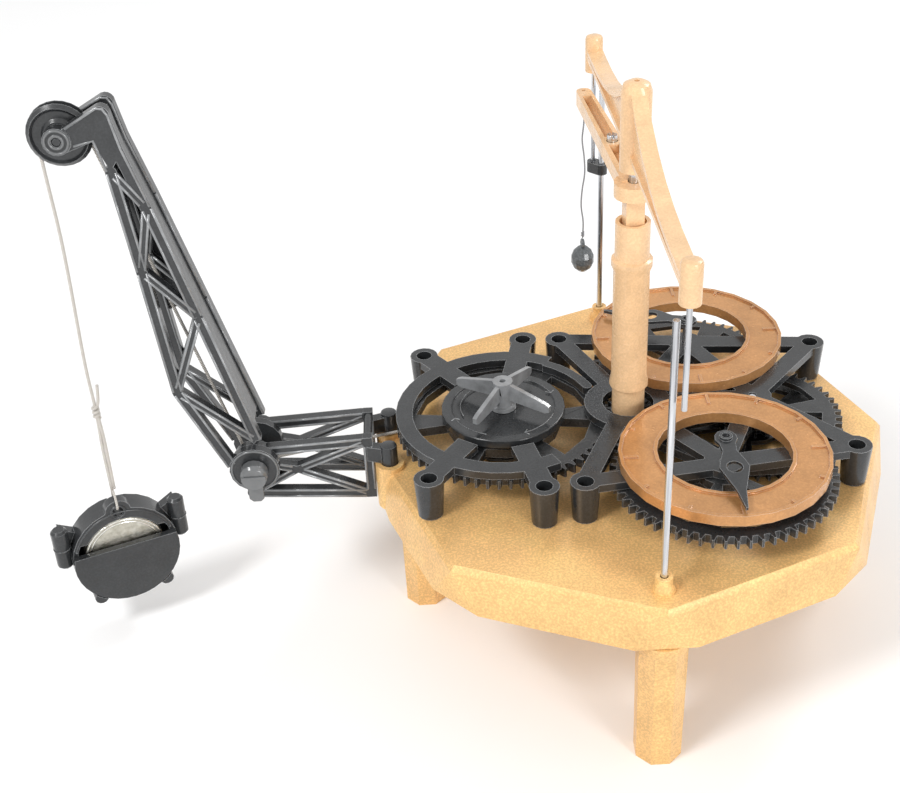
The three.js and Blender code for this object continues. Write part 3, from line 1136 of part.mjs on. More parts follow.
// A shallow round tray with a lug above, a barrel clip at each side and two nubs below.
function coinTray() {
  const { body, below, lug, hole, back, skin, front, sideSlot, slotTop } = WEIGHT;
  const shell = crossDisc(body, front, back + skin, SIDES.fine);
  const pit = crossDisc(COIN.radius + CLEAR.air, front - CLEAR.over, back, SIDES.fine);
  const wide = crossDisc(sideSlot, front - CLEAR.over, back, SIDES.fine);
  const lowHalf = [[-body, -body], [body, -body], [body, slotTop], [-body, slotTop]];
  const low = panel(lowHalf, front - CLEAR.over, back);
  const shoulder = [body * NECK_SHARES.wide, -below * NECK_SHARES.low];
  const lugBack = front + 2 * skin;
  const neck = panel([[-shoulder[0], shoulder[1]], [-lug, 0], [lug, 0], shoulder], front, lugBack);
  const lugPlate = crossDisc(lug, front, lugBack);
  const outside = join(...[-1, 1].map(clip), ...[-1, 1].map(nub)).translate([0, 0, -below]);
  const hollow = join(pit, wide.intersect(low)).translate([0, 0, -below]);
  const solid = cut(join(shell.translate([0, 0, -below]), neck, lugPlate, outside), hollow);
  return solid.subtract(crossDisc(hole, front - CLEAR.over, back + skin + CLEAR.over, SIDES.small));
}

// A barrel with tapered ends beside the tray, and the strap that holds it to the tray's back.
function clip(side) {
  const { body, back, skin, clipAt, clip: radius, clipLow, clipHigh, strap } = WEIGHT;
  const end = radius * CLIP_SHARES.endRadius;
  const endTall = radius * CLIP_SHARES.endTall;
  const barrel = turned([
    [0, clipLow - endTall], [end, clipLow - endTall], [radius, clipLow], [radius, clipHigh],
    [end, clipHigh + endTall], [0, clipHigh + endTall],
  ], SIDES.small).translate([side * clipAt, back - radius, 0]);
  const inner = body - 2 * skin;
  const foot = (clipLow + clipHigh) / 2;
  const outline = [[inner, foot - strap], [clipAt, foot], [clipAt, clipHigh], [inner, foot + strap]];
  return barrel.add(panel(outline.map(([x, z]) => [side * x, z]), back - skin, back + skin));
}

// A round nub at the tray's rim that reaches forward past the cover's edge.
function nub(side) {
  const { body, back, skin, front, pocket, nub: radius } = WEIGHT;
  const face = front - pocket;
  const [x, z] = polar(body + CLEAR.air, -TURN.quarter + side * WEIGHT_ANGLES.nub);
  const round = crossDisc(radius, face, back + skin, SIDES.small).translate([x, 0, z]);
  return round.subtract(crossDisc(body + CLEAR.air, face - CLEAR.over, front, SIDES.fine));
}

function coinCover() {
  const { body, front, pocket, edge, below } = WEIGHT;
  const start = THREE.MathUtils.radToDeg(Math.asin(edge / body));
  const sweep = TURN.half + 2 * start;
  const outline = Array.from({ length: STEPS.cover + 1 }, (_, i) => {
    const [x, z] = polar(body, TURN.half - start + sweep * i / STEPS.cover);
    return [x, z - below];
  });
  const far = front - CLEAR.seat;
  return panel(outline, far - pocket, far);
}

function coin() {
  const { radius, thick, rim, sunk } = COIN;
  const flat = radius - rim;
  const profile = [
    [0, sunk], [flat, sunk], [flat, 0], [radius, 0], [radius, thick], [flat, thick], [flat, thick - sunk],
    [0, thick - sunk],
  ];
  return turned(profile, SIDES.coin).rotate([-TURN.quarter, 0, 0]);
}

add(holder, 'coin_tray', coinTray(), 'black');
add(holder, 'coin_cover', coinCover(), 'black');
for (let i = 0; i < COIN.count; i += 1) {
  const y = WEIGHT.back - CLEAR.seat - COIN.thick - i * (COIN.thick + COIN.gap);
  add(holder, `coin_${i + 1}`, coin(), 'coin').position.set(0, y, -WEIGHT.below);
}
add(weight, 'string_loop', stringLoop(), 'string');

// The stand is centred over x = 0; the hanging pieces don't count.
const HANGING = /^(string|pendulum|coin)/;
const extent = new THREE.Box3();
clock.updateMatrixWorld(true);
clock.traverse(piece => {
  if (piece.isMesh && !HANGING.test(piece.name)) extent.expandByObject(piece, true);
});
deck.position.x = -(extent.min.x + extent.max.x) / 2;

export default clock;
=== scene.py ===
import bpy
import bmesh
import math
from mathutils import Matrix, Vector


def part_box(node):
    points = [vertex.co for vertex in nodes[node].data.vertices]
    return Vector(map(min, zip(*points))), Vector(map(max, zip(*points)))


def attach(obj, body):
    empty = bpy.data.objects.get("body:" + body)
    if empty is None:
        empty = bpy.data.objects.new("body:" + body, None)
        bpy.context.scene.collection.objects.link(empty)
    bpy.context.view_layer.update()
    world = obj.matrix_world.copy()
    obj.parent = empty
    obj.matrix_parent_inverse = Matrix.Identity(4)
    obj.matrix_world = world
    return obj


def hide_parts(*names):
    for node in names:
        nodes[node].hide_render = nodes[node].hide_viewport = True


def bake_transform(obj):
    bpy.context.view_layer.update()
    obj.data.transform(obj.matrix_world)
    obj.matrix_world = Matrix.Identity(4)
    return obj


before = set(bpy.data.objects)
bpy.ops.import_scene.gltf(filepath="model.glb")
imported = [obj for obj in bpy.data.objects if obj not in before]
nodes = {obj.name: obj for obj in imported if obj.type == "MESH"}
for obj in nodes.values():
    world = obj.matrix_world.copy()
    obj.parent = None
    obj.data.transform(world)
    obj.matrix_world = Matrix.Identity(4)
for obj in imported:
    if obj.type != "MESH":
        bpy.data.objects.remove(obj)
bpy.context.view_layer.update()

# %% [markdown]
# # A flying pendulum clock
# This clock has no swinging pendulum. A ball on a thread flies round with a turning arm until the
# thread catches a rod, winds up, unwinds and lets the arm go on to the next rod. A coin weight on a
# boom pulls a string from a drum, and open gears carry its turning to the column and two dials.
# The solid parts come from the frame. This lesson sets the camera, mixes the finishes, lays the
# strings, dresses the parts, adds their fine trim and lights the scene.

MM = 0.001
PLATE_TOP = 55.7
shaft_low, shaft_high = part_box("centre_shaft")
COLUMN_AT = ((shaft_low.x + shaft_high.x) / 2 / MM, 0.0, PLATE_TOP)


def at(x, y, z):
    """A place given in millimetres from the column's axis and the plate's top."""
    return Vector([(a + b) * MM for a, b in zip((x, y, z), COLUMN_AT)])


# %% [markdown]
# ## The camera
# The photograph looks down on the clock from the front at about 34 degrees, and is tipped three
# degrees. The camera's right and up directions are written down, because a tipped view is easier
# to hold as two directions than as angles.

# %% Camera
SENSOR = 36.0
LENS = 58.158
NEAREST = 0.01
EYE = at(-53.1, -346.2, 247.4)
RIGHT = Vector((0.9984, -0.0351, -0.0442))
UP = Vector((0.0562, 0.5526, 0.8316))


def photo_camera():
    data = bpy.data.cameras.new("Camera")
    data.sensor_width = SENSOR
    data.lens = LENS
    data.clip_start = NEAREST
    camera = bpy.data.objects.new("Camera", data)
    bpy.context.scene.collection.objects.link(camera)
    right = RIGHT.normalized()
    back = right.cross(UP).normalized()
    up = back.cross(right)
    turn = Matrix((right, up, back)).transposed().to_4x4()
    camera.matrix_world = Matrix.Translation(EYE) @ turn
    bpy.context.scene.camera = camera
    return camera


camera = photo_camera()
print("camera at", [round(v, 3) for v in camera.location])

# %% [markdown]
# ## New pieces
# The frame brings the large shapes, so the pieces made here are thin: ribs, rings, seams and strings.
# Each is built in mesh code, rides on the body that carries it and says which finish slot it uses.

# %% New pieces
def new_piece(name, mesh, body, material):
    piece = bpy.data.objects.new(name, mesh)
    bpy.context.scene.collection.objects.link(piece)
    if body:
        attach(piece, body)
    mesh.materials.append(material)
    return piece


def finish_mesh(name, bm, smooth=True):
    bmesh.ops.recalc_face_normals(bm, faces=bm.faces)
    mesh = bpy.data.meshes.new(name)
    bm.to_mesh(mesh)
    bm.free()
    mesh.polygons.foreach_set("use_smooth", [smooth] * len(mesh.polygons))
    return mesh


# %% [markdown]
# ## Soft edges
# A mould never leaves a knife edge. Edges could be rounded in the mesh, but a bevel modifier rounds
# them afterwards and leaves the frame's solids as they are. Only corners sharper than the facets of
# the round parts are rounded, so a column stays a column.

# %% Soft edges
WELD_WITHIN = 0.002 * MM
SHARP_FROM = math.radians(32)
BEVEL_STEPS = 2


def soften(piece, width):
    """Rounds the sharp edges a little, as a mould does, and shades the rest smooth."""
    weld = piece.modifiers.new("weld", "WELD")
    weld.merge_threshold = WELD_WITHIN
    edge = piece.modifiers.new("rounded edges", "BEVEL")
    edge.width = width * MM
    edge.segments = BEVEL_STEPS
    edge.limit_method = "ANGLE"
    edge.angle_limit = SHARP_FROM
    edge.harden_normals = True
    edge.miter_outer = "MITER_ARC"
    shade_smooth(piece)


def shade_smooth(piece):
    mesh = piece.data
    mesh.polygons.foreach_set("use_smooth", [True] * len(mesh.polygons))


print("corners sharper than", round(math.degrees(SHARP_FROM)), "degrees are rounded")

# %% [markdown]
# ## Tubes
# Strings, ribs and rings are round tubes that follow points. A curve with a round profile would give
# them too. Here each tube is built ring by ring, so its ends are closed and its radius is exact.
# Each ring takes over the last one's direction, which keeps the tube from twisting.

# %% Tubes
def add_tube(bm, points, radius, sides, closed=False):
    """A round tube through points that are already in metres."""
    line = [Vector(p) for p in points]
    last = len(line) - 1
    around = [2 * math.pi * k / sides for k in range(sides)]
    rings = []
    side = None
    for i, p in enumerate(line):
        before = line[i - 1] if closed or i else p
        after = line[(i + 1) % len(line)] if closed or i < last else p
        ahead = (after - before).normalized()
        if side is None:
            side = ahead.orthogonal().normalized()
        side = (side - ahead * side.dot(ahead)).normalized()
        other = ahead.cross(side)
        rings.append([bm.verts.new(p + (side * math.cos(a) + other * math.sin(a)) * radius)
                      for a in around])
    for low, high in zip(rings, rings[1:] + rings[:1] if closed else rings[1:]):
        for k in range(sides):
            m = (k + 1) % sides
            bm.faces.new((low[k], low[m], high[m], high[k]))
    if not closed:
        bm.faces.new(rings[0][::-1])
        bm.faces.new(rings[-1])


def tubes_mesh(name, lines, radius, sides=14, closed=False):
    bm = bmesh.new()
    for line in lines:
        add_tube(bm, line, radius, sides, closed)
    return finish_mesh(name, bm)


print("tube helpers ready")

# %% [markdown]
# ## Lines for the tubes to follow
# A circle's points go through a small function that puts them on a leaning face. A string laid by
# hand needs only a few chosen points, and a curve that passes through each of them joins them up.

# %% Circles, smooth lines and windings
def ring_points(place, radius, steps=48, start=0.0, sweep=360.0):
    """Points on a circle or an arc; place(a, b) turns two flat coordinates into a place."""
    count = steps if sweep == 360.0 else steps + 1
    angles = [math.radians(start + sweep * i / steps) for i in range(count)]
    return [place(radius * math.cos(a), radius * math.sin(a)) for a in angles]


def smooth_line(points, steps):
    """More points along a smooth curve through a few given ones."""
    p = [Vector(q) for q in points]
    p = [2 * p[0] - p[1], *p, 2 * p[-1] - p[-2]]
    line = []
    for i in range(1, len(p) - 2):
        for k in range(steps):
            t = k / steps
            a, b, c, d = p[i - 1:i + 3]
            line.append(0.5 * (2 * b + (c - a) * t + (2 * a - 5 * b + 4 * c - d) * t * t
                               + (3 * b - a - 3 * c + d) * t ** 3))
    line.append(p[-2])
    return line


def winding(place, radius, sweep, steps, foot, rise):
    """Turns of string: sweep radians in all, climbing by rise from the height foot."""
    turns = [sweep * i / steps for i in range(steps + 1)]
    return [place(radius * math.cos(a), radius * math.sin(a), foot + rise * a / sweep)
            for a in turns]


def straight(a, b, count):
    return [a.lerp(b, i / count) for i in range(count + 1)]


def line_length(line):
    return sum((b - a).length for a, b in zip(line, line[1:]))


print("line helpers ready")

# %% [markdown]
# ## Steps towards a finish
# Every finish starts from one shader and a few nodes: a noise that sits on the piece itself, a ramp
# that turns it into tones, a range that turns it into gloss, and a bump that gives it grain.

# %% Shader helpers
def shader(name):
    material = bpy.data.materials.new(name)
    material.use_nodes = True
    tree = material.node_tree
    return material, tree, tree.nodes["Principled BSDF"]


def node(tree, kind, **values):
    made = tree.nodes.new(kind)
    for key, value in values.items():
        if key in made.inputs:
            made.inputs[key].default_value = value
        else:
            setattr(made, key, value)
    return made


def noise(tree, scale, detail=3.0, roughness=0.5):
    place = tree.nodes.get("place") or node(tree, "ShaderNodeTexCoord", name="place")
    made = node(tree, "ShaderNodeTexNoise", Scale=scale, Detail=detail, Roughness=roughness)
    tree.links.new(place.outputs["Object"], made.inputs["Vector"])
    return made.outputs["Fac"]


def ramp(tree, value, stops):
    made = node(tree, "ShaderNodeValToRGB")
    elements = made.color_ramp.elements
    while len(elements) < len(stops):
        elements.new(0.5)
    for element, (position, colour) in zip(elements, stops):
        element.position = position
        element.color = (*colour, 1)
    tree.links.new(value, made.inputs["Fac"])
    return made.outputs["Color"]


def remap(tree, value, given, wanted):
    """Carries the range given = (first, last) over to the range wanted."""
    made = node(tree, "ShaderNodeMapRange")
    for key, number in zip(("From Min", "From Max", "To Min", "To Max"), (*given, *wanted)):
        made.inputs[key].default_value = number
    tree.links.new(value, made.inputs["Value"])
    return made.outputs["Result"]


NOISE_MIDDLE = (0.3, 0.7)


def let_gloss_wander(tree, surface, value, gloss):
    tree.links.new(remap(tree, value, NOISE_MIDDLE, gloss), surface.inputs["Roughness"])


def grain(tree, surface, value, strength, depth):
    made = node(tree, "ShaderNodeBump", Strength=strength, Distance=depth * MM)
    tree.links.new(value, made.inputs["Height"])
    tree.links.new(made.outputs["Normal"], surface.inputs["Normal"])


print("shader helpers ready")

# %% [markdown]
# ## Painted edge highlights
# The black parts look pale along their edges, where light catches them, and this paints that highlight
# into their colour. A painted pattern along the edges would need a texture. A bevel node finds them
# instead: it looks round each corner, so its direction differs from the face's own only close to an
# edge.

# %% Painted edge highlights
EDGE_REACH = 0.4 * MM
# The colour of the highlight painted along the black parts' edges.
EDGE_HIGHLIGHT_TONE = (0.78, 0.8, 0.82, 1)
EDGE_RANGE = (0.94, 0.74)


def painted_edge_highlight(tree, tones, share):
    """Paints a highlight: lightens the tones near sharp edges by up to the given share."""
    face = node(tree, "ShaderNodeNewGeometry")
    corner = node(tree, "ShaderNodeBevel", samples=4, Radius=EDGE_REACH)
    same = node(tree, "ShaderNodeVectorMath", operation="DOT_PRODUCT")
    tree.links.new(corner.outputs["Normal"], same.inputs[0])
    tree.links.new(face.outputs["True Normal"], same.inputs[1])
    edge = remap(tree, same.outputs["Value"], EDGE_RANGE, (0.0, share))
    mix = node(tree, "ShaderNodeMix", data_type="RGBA")
    tree.links.new(edge, mix.inputs["Factor"])
    tree.links.new(tones, mix.inputs["A"])
    mix.inputs["B"].default_value = EDGE_HIGHLIGHT_TONE
    return mix.outputs["Result"]


print("edges are found within", EDGE_REACH / MM, "mm")

# %% [markdown]
# ## Moulded plastic
# Moulded plastic is never one flat colour. This finish mixes close tones of a colour with a soft
# noise, darkens them with fine specks, can paint a highlight along sharp edges, adds a grain to the
# surface and lets the gloss wander.

# %% Moulded plastic
SPECK_SCALE = 1600
GRAIN_STRENGTH = 0.15
GRAIN_DEPTH = 0.1


def shade(colour, share):
    return tuple(min(1.0, c * share) for c in colour)


def speckled(tree, tones, fine, flakes):
    speck = ramp(tree, fine, [(0.42, (1 - flakes,) * 3), (0.66, (1, 1, 1))])
    mix = node(tree, "ShaderNodeMix", data_type="RGBA", blend_type="MULTIPLY")
    mix.inputs["Factor"].default_value = 1.0
    tree.links.new(tones, mix.inputs["A"])
    tree.links.new(speck, mix.inputs["B"])
    return mix.outputs["Result"]


def moulded(name, colour, patch, contrast, gloss, metal=0.0, flakes=0.0, edges=0.0, shine=0.5):
    material, tree, surface = shader(name)
    soft = noise(tree, patch, 4, 0.6)
    fine = noise(tree, SPECK_SCALE, 2, 0.6)
    tones = ramp(tree, soft, [(0.3, shade(colour, 1 - contrast)), (0.5, colour),
                              (0.72, shade(colour, 1 + contrast))])
    if flakes:
        tones = speckled(tree, tones, fine, flakes)
    # A highlight painted along sharp edges.
    if edges:
        tones = painted_edge_highlight(tree, tones, edges)
    tree.links.new(tones, surface.inputs["Base Color"])
    let_gloss_wander(tree, surface, noise(tree, patch * 3, 3), gloss)
    surface.inputs["Metallic"].default_value = metal
    surface.inputs["Specular IOR Level"].default_value = shine
    grain(tree, surface, fine, GRAIN_STRENGTH, GRAIN_DEPTH)
    return material


golden = moulded("golden plate plastic", (0.94, 0.57, 0.225), patch=60, contrast=0.13,
                 gloss=(0.28, 0.4), metal=0.15, flakes=0.26)
peach = moulded("peach column plastic", (0.82, 0.54, 0.3), patch=120, contrast=0.1,
                gloss=(0.2, 0.32), flakes=0.12)
# Copper, charcoal and gear black get a highlight painted along their sharp edges.
copper = moulded("copper dial plastic", (0.58, 0.29, 0.11), patch=110, contrast=0.14,
                 gloss=(0.16, 0.28), metal=0.35, flakes=0.16, edges=0.35)
charcoal = moulded("charcoal frame plastic", (0.032, 0.034, 0.036), patch=150, contrast=0.2,
                   gloss=(0.16, 0.26), flakes=0.25, edges=0.42, shine=0.55)
# Glossy, and lighter than the frames' black to paint a sheen on the lever, the knob face and the boss
# rings.
glossy_black_painted_sheen = moulded("glossy black plastic with painted sheen", (0.13, 0.134, 0.137), patch=150, contrast=0.15,
                         gloss=(0.1, 0.18), shine=0.8)
# Lighter than the frames' black: its grey paints the highlight on the ribs and the winding key.
black_painted_highlight = moulded("black plastic with painted highlight", (0.22, 0.226, 0.232), patch=200, contrast=0.3,
                     gloss=(0.12, 0.2), shine=0.8)
gear_black = moulded("black gear plastic", (0.034, 0.035, 0.036), patch=150, contrast=0.2,
                     gloss=(0.2, 0.32), flakes=0.2, edges=0.4)
ball_grey = moulded("ball grey", (0.12, 0.13, 0.135), patch=400, contrast=0.3,
                    gloss=(0.06, 0.14), flakes=0.3)
print("plastic finishes:", len(bpy.data.materials))

# %% [markdown]
# ## Metal
# Drawn steel has fine streaks along the rod: a noise stretched far along one direction gives them.
# A worn coin is brighter on its rim than in its field, so the rim's rings get a cleaner alloy.

# %% Metal finishes
STREAKS = (1500, 1500, 60)


def drawn_steel():
    material, tree, surface = shader("drawn steel")
    place = node(tree, "ShaderNodeTexCoord")
    stretch = node(tree, "ShaderNodeMapping")
    stretch.inputs["Scale"].default_value = STREAKS
    tree.links.new(place.outputs["Object"], stretch.inputs["Vector"])
    streaks = node(tree, "ShaderNodeTexNoise", Scale=1.0, Detail=3.0)
    tree.links.new(stretch.outputs["Vector"], streaks.inputs["Vector"])
    tones = ramp(tree, streaks.outputs["Fac"], [(0.3, (0.42, 0.43, 0.45)), (0.7, (0.75, 0.76, 0.78))])
    tree.links.new(tones, surface.inputs["Base Color"])
    let_gloss_wander(tree, surface, streaks.outputs["Fac"], (0.16, 0.32))
    surface.inputs["Metallic"].default_value = 1.0
    return material


def coin_alloy(name, dull, bright, gloss, dents):
    material, tree, surface = shader(name)
    tarnish = noise(tree, 500, 5, 0.65)
    tones = ramp(tree, tarnish, [(0.35, dull), (0.65, bright)])
    tree.links.new(tones, surface.inputs["Base Color"])
    let_gloss_wander(tree, surface, tarnish, gloss)
    surface.inputs["Metallic"].default_value = 1.0
    grain(tree, surface, noise(tree, 1200, 3), dents, 0.2)
    return material


steel = drawn_steel()
coin_metal = coin_alloy("worn coin metal", (0.42, 0.40, 0.33), (0.66, 0.64, 0.57), (0.3, 0.42), 0.3)
coin_bright = coin_alloy("polished coin rim", (0.74, 0.73, 0.68), (0.88, 0.87, 0.83), (0.14, 0.22), 0.1)
print("plastic and metal finishes:", len(bpy.data.materials))

# %% [markdown]
# ## String
# The string is twisted from strands. Modelling them would cost many faces on something less than a
# millimetre thick, so a slanted wave dents the tube and gives the light a twist to catch, and darkens
# it between the strands with painted shade.

# %% String finishes
def twisted_string(name, light, strand_shade):
    material, tree, surface = shader(name)
    place = node(tree, "ShaderNodeTexCoord")
    wave = node(tree, "ShaderNodeTexWave", Scale=900.0, Distortion=1.5, bands_direction="DIAGONAL")
    tree.links.new(place.outputs["Object"], wave.inputs["Vector"])
    # The ramp's lower tone is shade painted between the strands.
    tones = ramp(tree, wave.outputs["Fac"], [(0.2, strand_shade), (0.75, light)])
    tree.links.new(tones, surface.inputs["Base Color"])
    surface.inputs["Roughness"].default_value = 0.85
    grain(tree, surface, wave.outputs["Fac"], 0.5, 0.2)
    return material


string_white = twisted_string("twisted white string", (0.74, 0.71, 0.66), (0.30, 0.27, 0.24))
thread_grey = twisted_string("grey pendulum thread", (0.34, 0.34, 0.35), (0.16, 0.16, 0.17))
print("all finishes:", len(bpy.data.materials))

# %% [markdown]
# ## The string inside the clock
# The weight's string leaves the drum, passes under the pivot, climbs inside the boom, runs over the
# pulley and drops to a knot and a loop. Each stretch is its own piece, because the arm stands still,
# the boom tilts and the pulley's stretch keeps upright. The frame's plain string gives way to them.

# %% String places
PIVOT = (-107.8, 3.2)
AXLE = (-145.2, 104.8)
STRING_Y = -3.0
STRING_R = 0.45
GROOVE = 6.15
ON_GROOVE = GROOVE + 0.15
DRUM_EXIT = at(-38.0, 10.5, 4.0)
SLEEVE_ENTRY = at(-107.8, STRING_Y, 0.7)
HOOK_X = AXLE[0] - GROOVE
HOOK_Z = -14.0


def round_point(centre, radius, degrees):
    a = math.radians(degrees)
    return at(centre[0] + radius * math.cos(a), STRING_Y, centre[1] + radius * math.sin(a))


def strands(name, lines, radius, body, material):
    return new_piece(name, tubes_mesh(name, lines, radius * MM), body, material)


def cord_piece(name, line, radius, body, slot, material, **facts):
    piece = strands(name, [line], radius, body, material)
    return piece


print("the string hangs", round(-HOOK_X), "mm left of the column")

# %% Strings in the arm, up the boom and over the pulley
arm_line = straight(DRUM_EXIT, SLEEVE_ENTRY, 24)
arm_bend = [round_point(PIVOT, 2.5, a) for a in (262, 252, 242, 232, 222)]
arm_string = cord_piece("string_through_arm", [*arm_line, *arm_bend], STRING_R, "stand", "string",
                        string_white, far_end="object", lay="taut")
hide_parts("string_in_arm")
boom_line = straight(round_point(PIVOT, 2.65, 195.6), round_point(AXLE, ON_GROOVE, 15.6), 24)
boom_string = cord_piece("string_up_boom", boom_line, STRING_R, "boom", "string", string_white,
                         far_end="object", lay="taut")
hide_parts("string_in_boom")
over_line = [round_point(AXLE, ON_GROOVE, 33 + 145 * i / 24) for i in range(25)]
over_string = strands("string_round_pulley", [over_line], STRING_R, "line", string_white)
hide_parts("string_over_pulley")
print("string inside the clock:", round(line_length(arm_line) + line_length(boom_line), 3), "m")

# %% [markdown]
# ## The hanging string
# It was cut and tied by hand, so it wanders a little, carries a knot with a loose tail, and is
# doubled from the knot down to the loop in the holder's eye. The knot is three turns of string
# wound round both strands; a real knot is harder to model and would look the same at this size.
# The straight part grows longer as the weight goes down; here it is laid once and rides on no body.

# %% Hanging string
KNOT_Z = HOOK_Z + 35
KNOT_R = 0.75
DROP_TOP = AXLE[1] - 1
DROP_FOOT = HOOK_Z + 7.6
WANDER = [0.0, 0.35, 0.65, 0.5, 0.15, -0.1, 0.1, -0.25, -0.15]
HOLDER_PARTS = ["coin_tray", "coin_cover", "coin_1", "coin_2", "coin_3", "string_loop"]


def hanging(dx, dy, z):
    return at(HOOK_X + dx, STRING_Y + dy, z)


drop_points = [hanging(dx, 0.4 * dx, DROP_TOP + (DROP_FOOT - DROP_TOP) * i / (len(WANDER) - 1))
               for i, dx in enumerate(WANDER)]
drop_line = smooth_line(drop_points, 5)
drop_string = cord_piece("string_to_weight", drop_line, STRING_R, None, "string", string_white,
                         far_end="fitting", lay="hanging", with_pieces=[nodes[n] for n in HOLDER_PARTS])
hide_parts("string_drop")
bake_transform(drop_string)
print("drop", round(line_length(drop_line), 3), "m")

# %% Knot, tail and second strand
second_strand = smooth_line([hanging(0.3, -0.2, KNOT_Z), hanging(0.75, -0.2, KNOT_Z - 9),
                             hanging(0.6, 0, DROP_FOOT)], 6)
knot_turns = winding(lambda x, y, z: hanging(0.1 + x, y, z), KNOT_R, 19, 40, KNOT_Z - 2.4, 4.2)
tail = smooth_line([hanging(0.7, 0, KNOT_Z + 1.4), hanging(1.5, -0.5, KNOT_Z + 4),
                    hanging(2.1, -0.6, KNOT_Z + 9)], 5)
strands("knot_and_tail", [second_strand, knot_turns, tail], STRING_R, "weight", string_white)
print("the knot's tail is", round(line_length(tail) / MM), "mm long")

# %% [markdown]
# ## The pendulum's thread
# It is half as thick as the string and carries only a light ball, so it never hangs quite straight.
# A few turns round its foot show where it is tied to the ball's ring.

# %% Pendulum thread
SWING_AT = (-6.262, 62.738)
THREAD_TOP = 77.2
THREAD_FOOT = 32.9
THREAD_R = 0.25
THREAD_WAVE = [(0, 0), (0.15, 0.1), (-0.3, 0.2), (0.3, 0), (0.5, -0.1), (-0.2, 0.1), (-0.5, 0.1),
               (0.15, 0), (0, 0)]


def beside_thread(dx, dy, z):
    return at(SWING_AT[0] + dx, SWING_AT[1] + dy, z)


thread_points = [beside_thread(dx, dy, THREAD_TOP - (THREAD_TOP - THREAD_FOOT) * i / 8)
                 for i, (dx, dy) in enumerate(THREAD_WAVE)]
thread_line = smooth_line(thread_points, 4)
thread_knot = winding(beside_thread, 0.4, 13, 26, THREAD_FOOT + 0.5, 1.56)
strands("thread_knot", [thread_knot], 0.22, "pendulum", thread_grey)
thread = cord_piece("flying_thread", thread_line, THREAD_R, "pendulum", "thread", thread_grey,
                    far_end="fitting", lay="hanging", with_pieces=[nodes["pendulum_ball"]])
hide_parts("pendulum_thread")
print("thread", round(line_length(thread_line), 3), "m")

# %% [markdown]
# ## Dressing the frame's own parts
# The frame's solids already have the clock's real shapes. Each gets a finish and a width for its
# rounded edges, in millimetres. The ball and the string's solids are round all over and get none.

# %% Finishes and edges of the frame's parts
FINISH = {
    "base_plate": (golden, 0.5), "leg_front": (golden, 0.4), "leg_back": (golden, 0.4),
    "leg_left": (golden, 0.4), "leg_right": (golden, 0.4), "front_dial": (copper, 0.2),
    "back_dial": (copper, 0.2), "column_tube": (peach, 0.2), "rotor_arm": (peach, 0.25),
    "crossbar": (peach, 0.3), "left_frame": (charcoal, 0.35), "right_frame": (charcoal, 0.35),
    "great_wheel": (gear_black, 0.12), "string_reel": (gear_black, 0.15), "drum_disc": (charcoal, 0.2),
    # The winding key's lighter black paints its highlight.
    "winding_key": (black_painted_highlight, 0.25), "click_pawl": (gear_black, 0.1),
    "third_wheel": (gear_black, 0.12), "idler_wheel": (gear_black, 0.12),
    "front_wheel": (gear_black, 0.12), "back_wheel": (gear_black, 0.12),
    "column_pinions": (gear_black, 0.1), "front_hand": (charcoal, 0.2), "back_hand": (charcoal, 0.2),
    "link_ring": (gear_black, 0.2), "arm_side_front": (charcoal, 0.3), "arm_side_back": (charcoal, 0.3),
    "arm_tie": (charcoal, 0.2), "boom_side_front": (charcoal, 0.3), "boom_side_back": (charcoal, 0.3),
    "boom_web": (charcoal, 0.25), "pulley": (charcoal, 0.2), "pulley_axle": (charcoal, 0.2),
    # The lever's lighter black paints its sheen.
    "pivot_sleeve": (gear_black, 0.15), "pivot_lever": (glossy_black_painted_sheen, 0.35),
    "coin_tray": (charcoal, 0.3), "coin_cover": (charcoal, 0.35), "pendulum_ball": (ball_grey, 0.0),
    "coin_1": (coin_metal, 0.12), "coin_2": (coin_metal, 0.12), "coin_3": (coin_metal, 0.12),
    "string_winding": (string_white, 0.0), "string_loop": (string_white, 0.0),
}
STEEL_PARTS = ["standing_rod_front", "standing_rod_back", "hanging_rod_front", "hanging_rod_back",
               "centre_shaft", "drum_arbor", "third_arbor", "front_arbor", "back_arbor",
               "pivot_bolt", "clamp_screw"]
FINISH.update({name: (steel, 0.12) for name in STEEL_PARTS})


def dress(name, material, width):
    part = nodes[name]
    part.data.materials.clear()
    part.data.materials.append(material)
    normals = part.data.attributes.get("custom_normal")
    if normals:
        part.data.attributes.remove(normals)
    if width:
        soften(part, width)
    else:
        shade_smooth(part)


for name, (material, width) in FINISH.items():
    dress(name, material, width)
print("dressed", len(FINISH), "of", len(nodes), "parts; left:", sorted(set(nodes) - set(FINISH)))

# %% [markdown]
# ## Raised ribs on the boom
# Each bar of the two trusses is a shallow channel: both of its edges stand up as a rounded rib that
# catches a line of light, which the rib's light grey colour paints in as a highlight. A thin tube half
# sunk into the face gives that rib. The sides of the boom lean together as they rise, so the ribs
# follow their faces.

# %% Boom ribs
RIB = 0.36
BOOM_LEFT = [(-114, 5), (-125.9, 30.2), (-129.9, 67.5), (-133.2, 96)]
BOOM_RIGHT = [(-106.2, 13), (-117.2, 53.3), (-126, 85.6)]
BOOM_OVER = [(-125.0, 86.0), (-129.8, 101.9), (-131.6, 110.9), (-132.6, 112.6), (-134.2, 112.8),
             (-142.6, 107.9)]
BOOM_UNDER = [(-134.2, 96.2), (-136.2, 104.5), (-141.2, 103.3)]
BOOM_INNER = 5.4
BOOM_THICK = 2.6
BOOM_LEAN = 0.029


def rib_pair(a, b, width, trim):
    """The two edges of a bar from a to b, drawn in from its sides and shortened at its ends."""
    run = Vector(b) - Vector(a)
    ahead = run.normalized()
    across = Vector((-ahead.y, ahead.x)) * (width / 2 - RIB)
    start = Vector(a) + ahead * trim
    end = Vector(b) - ahead * trim
    return [[start + side * across, end + side * across] for side in (1, -1)]


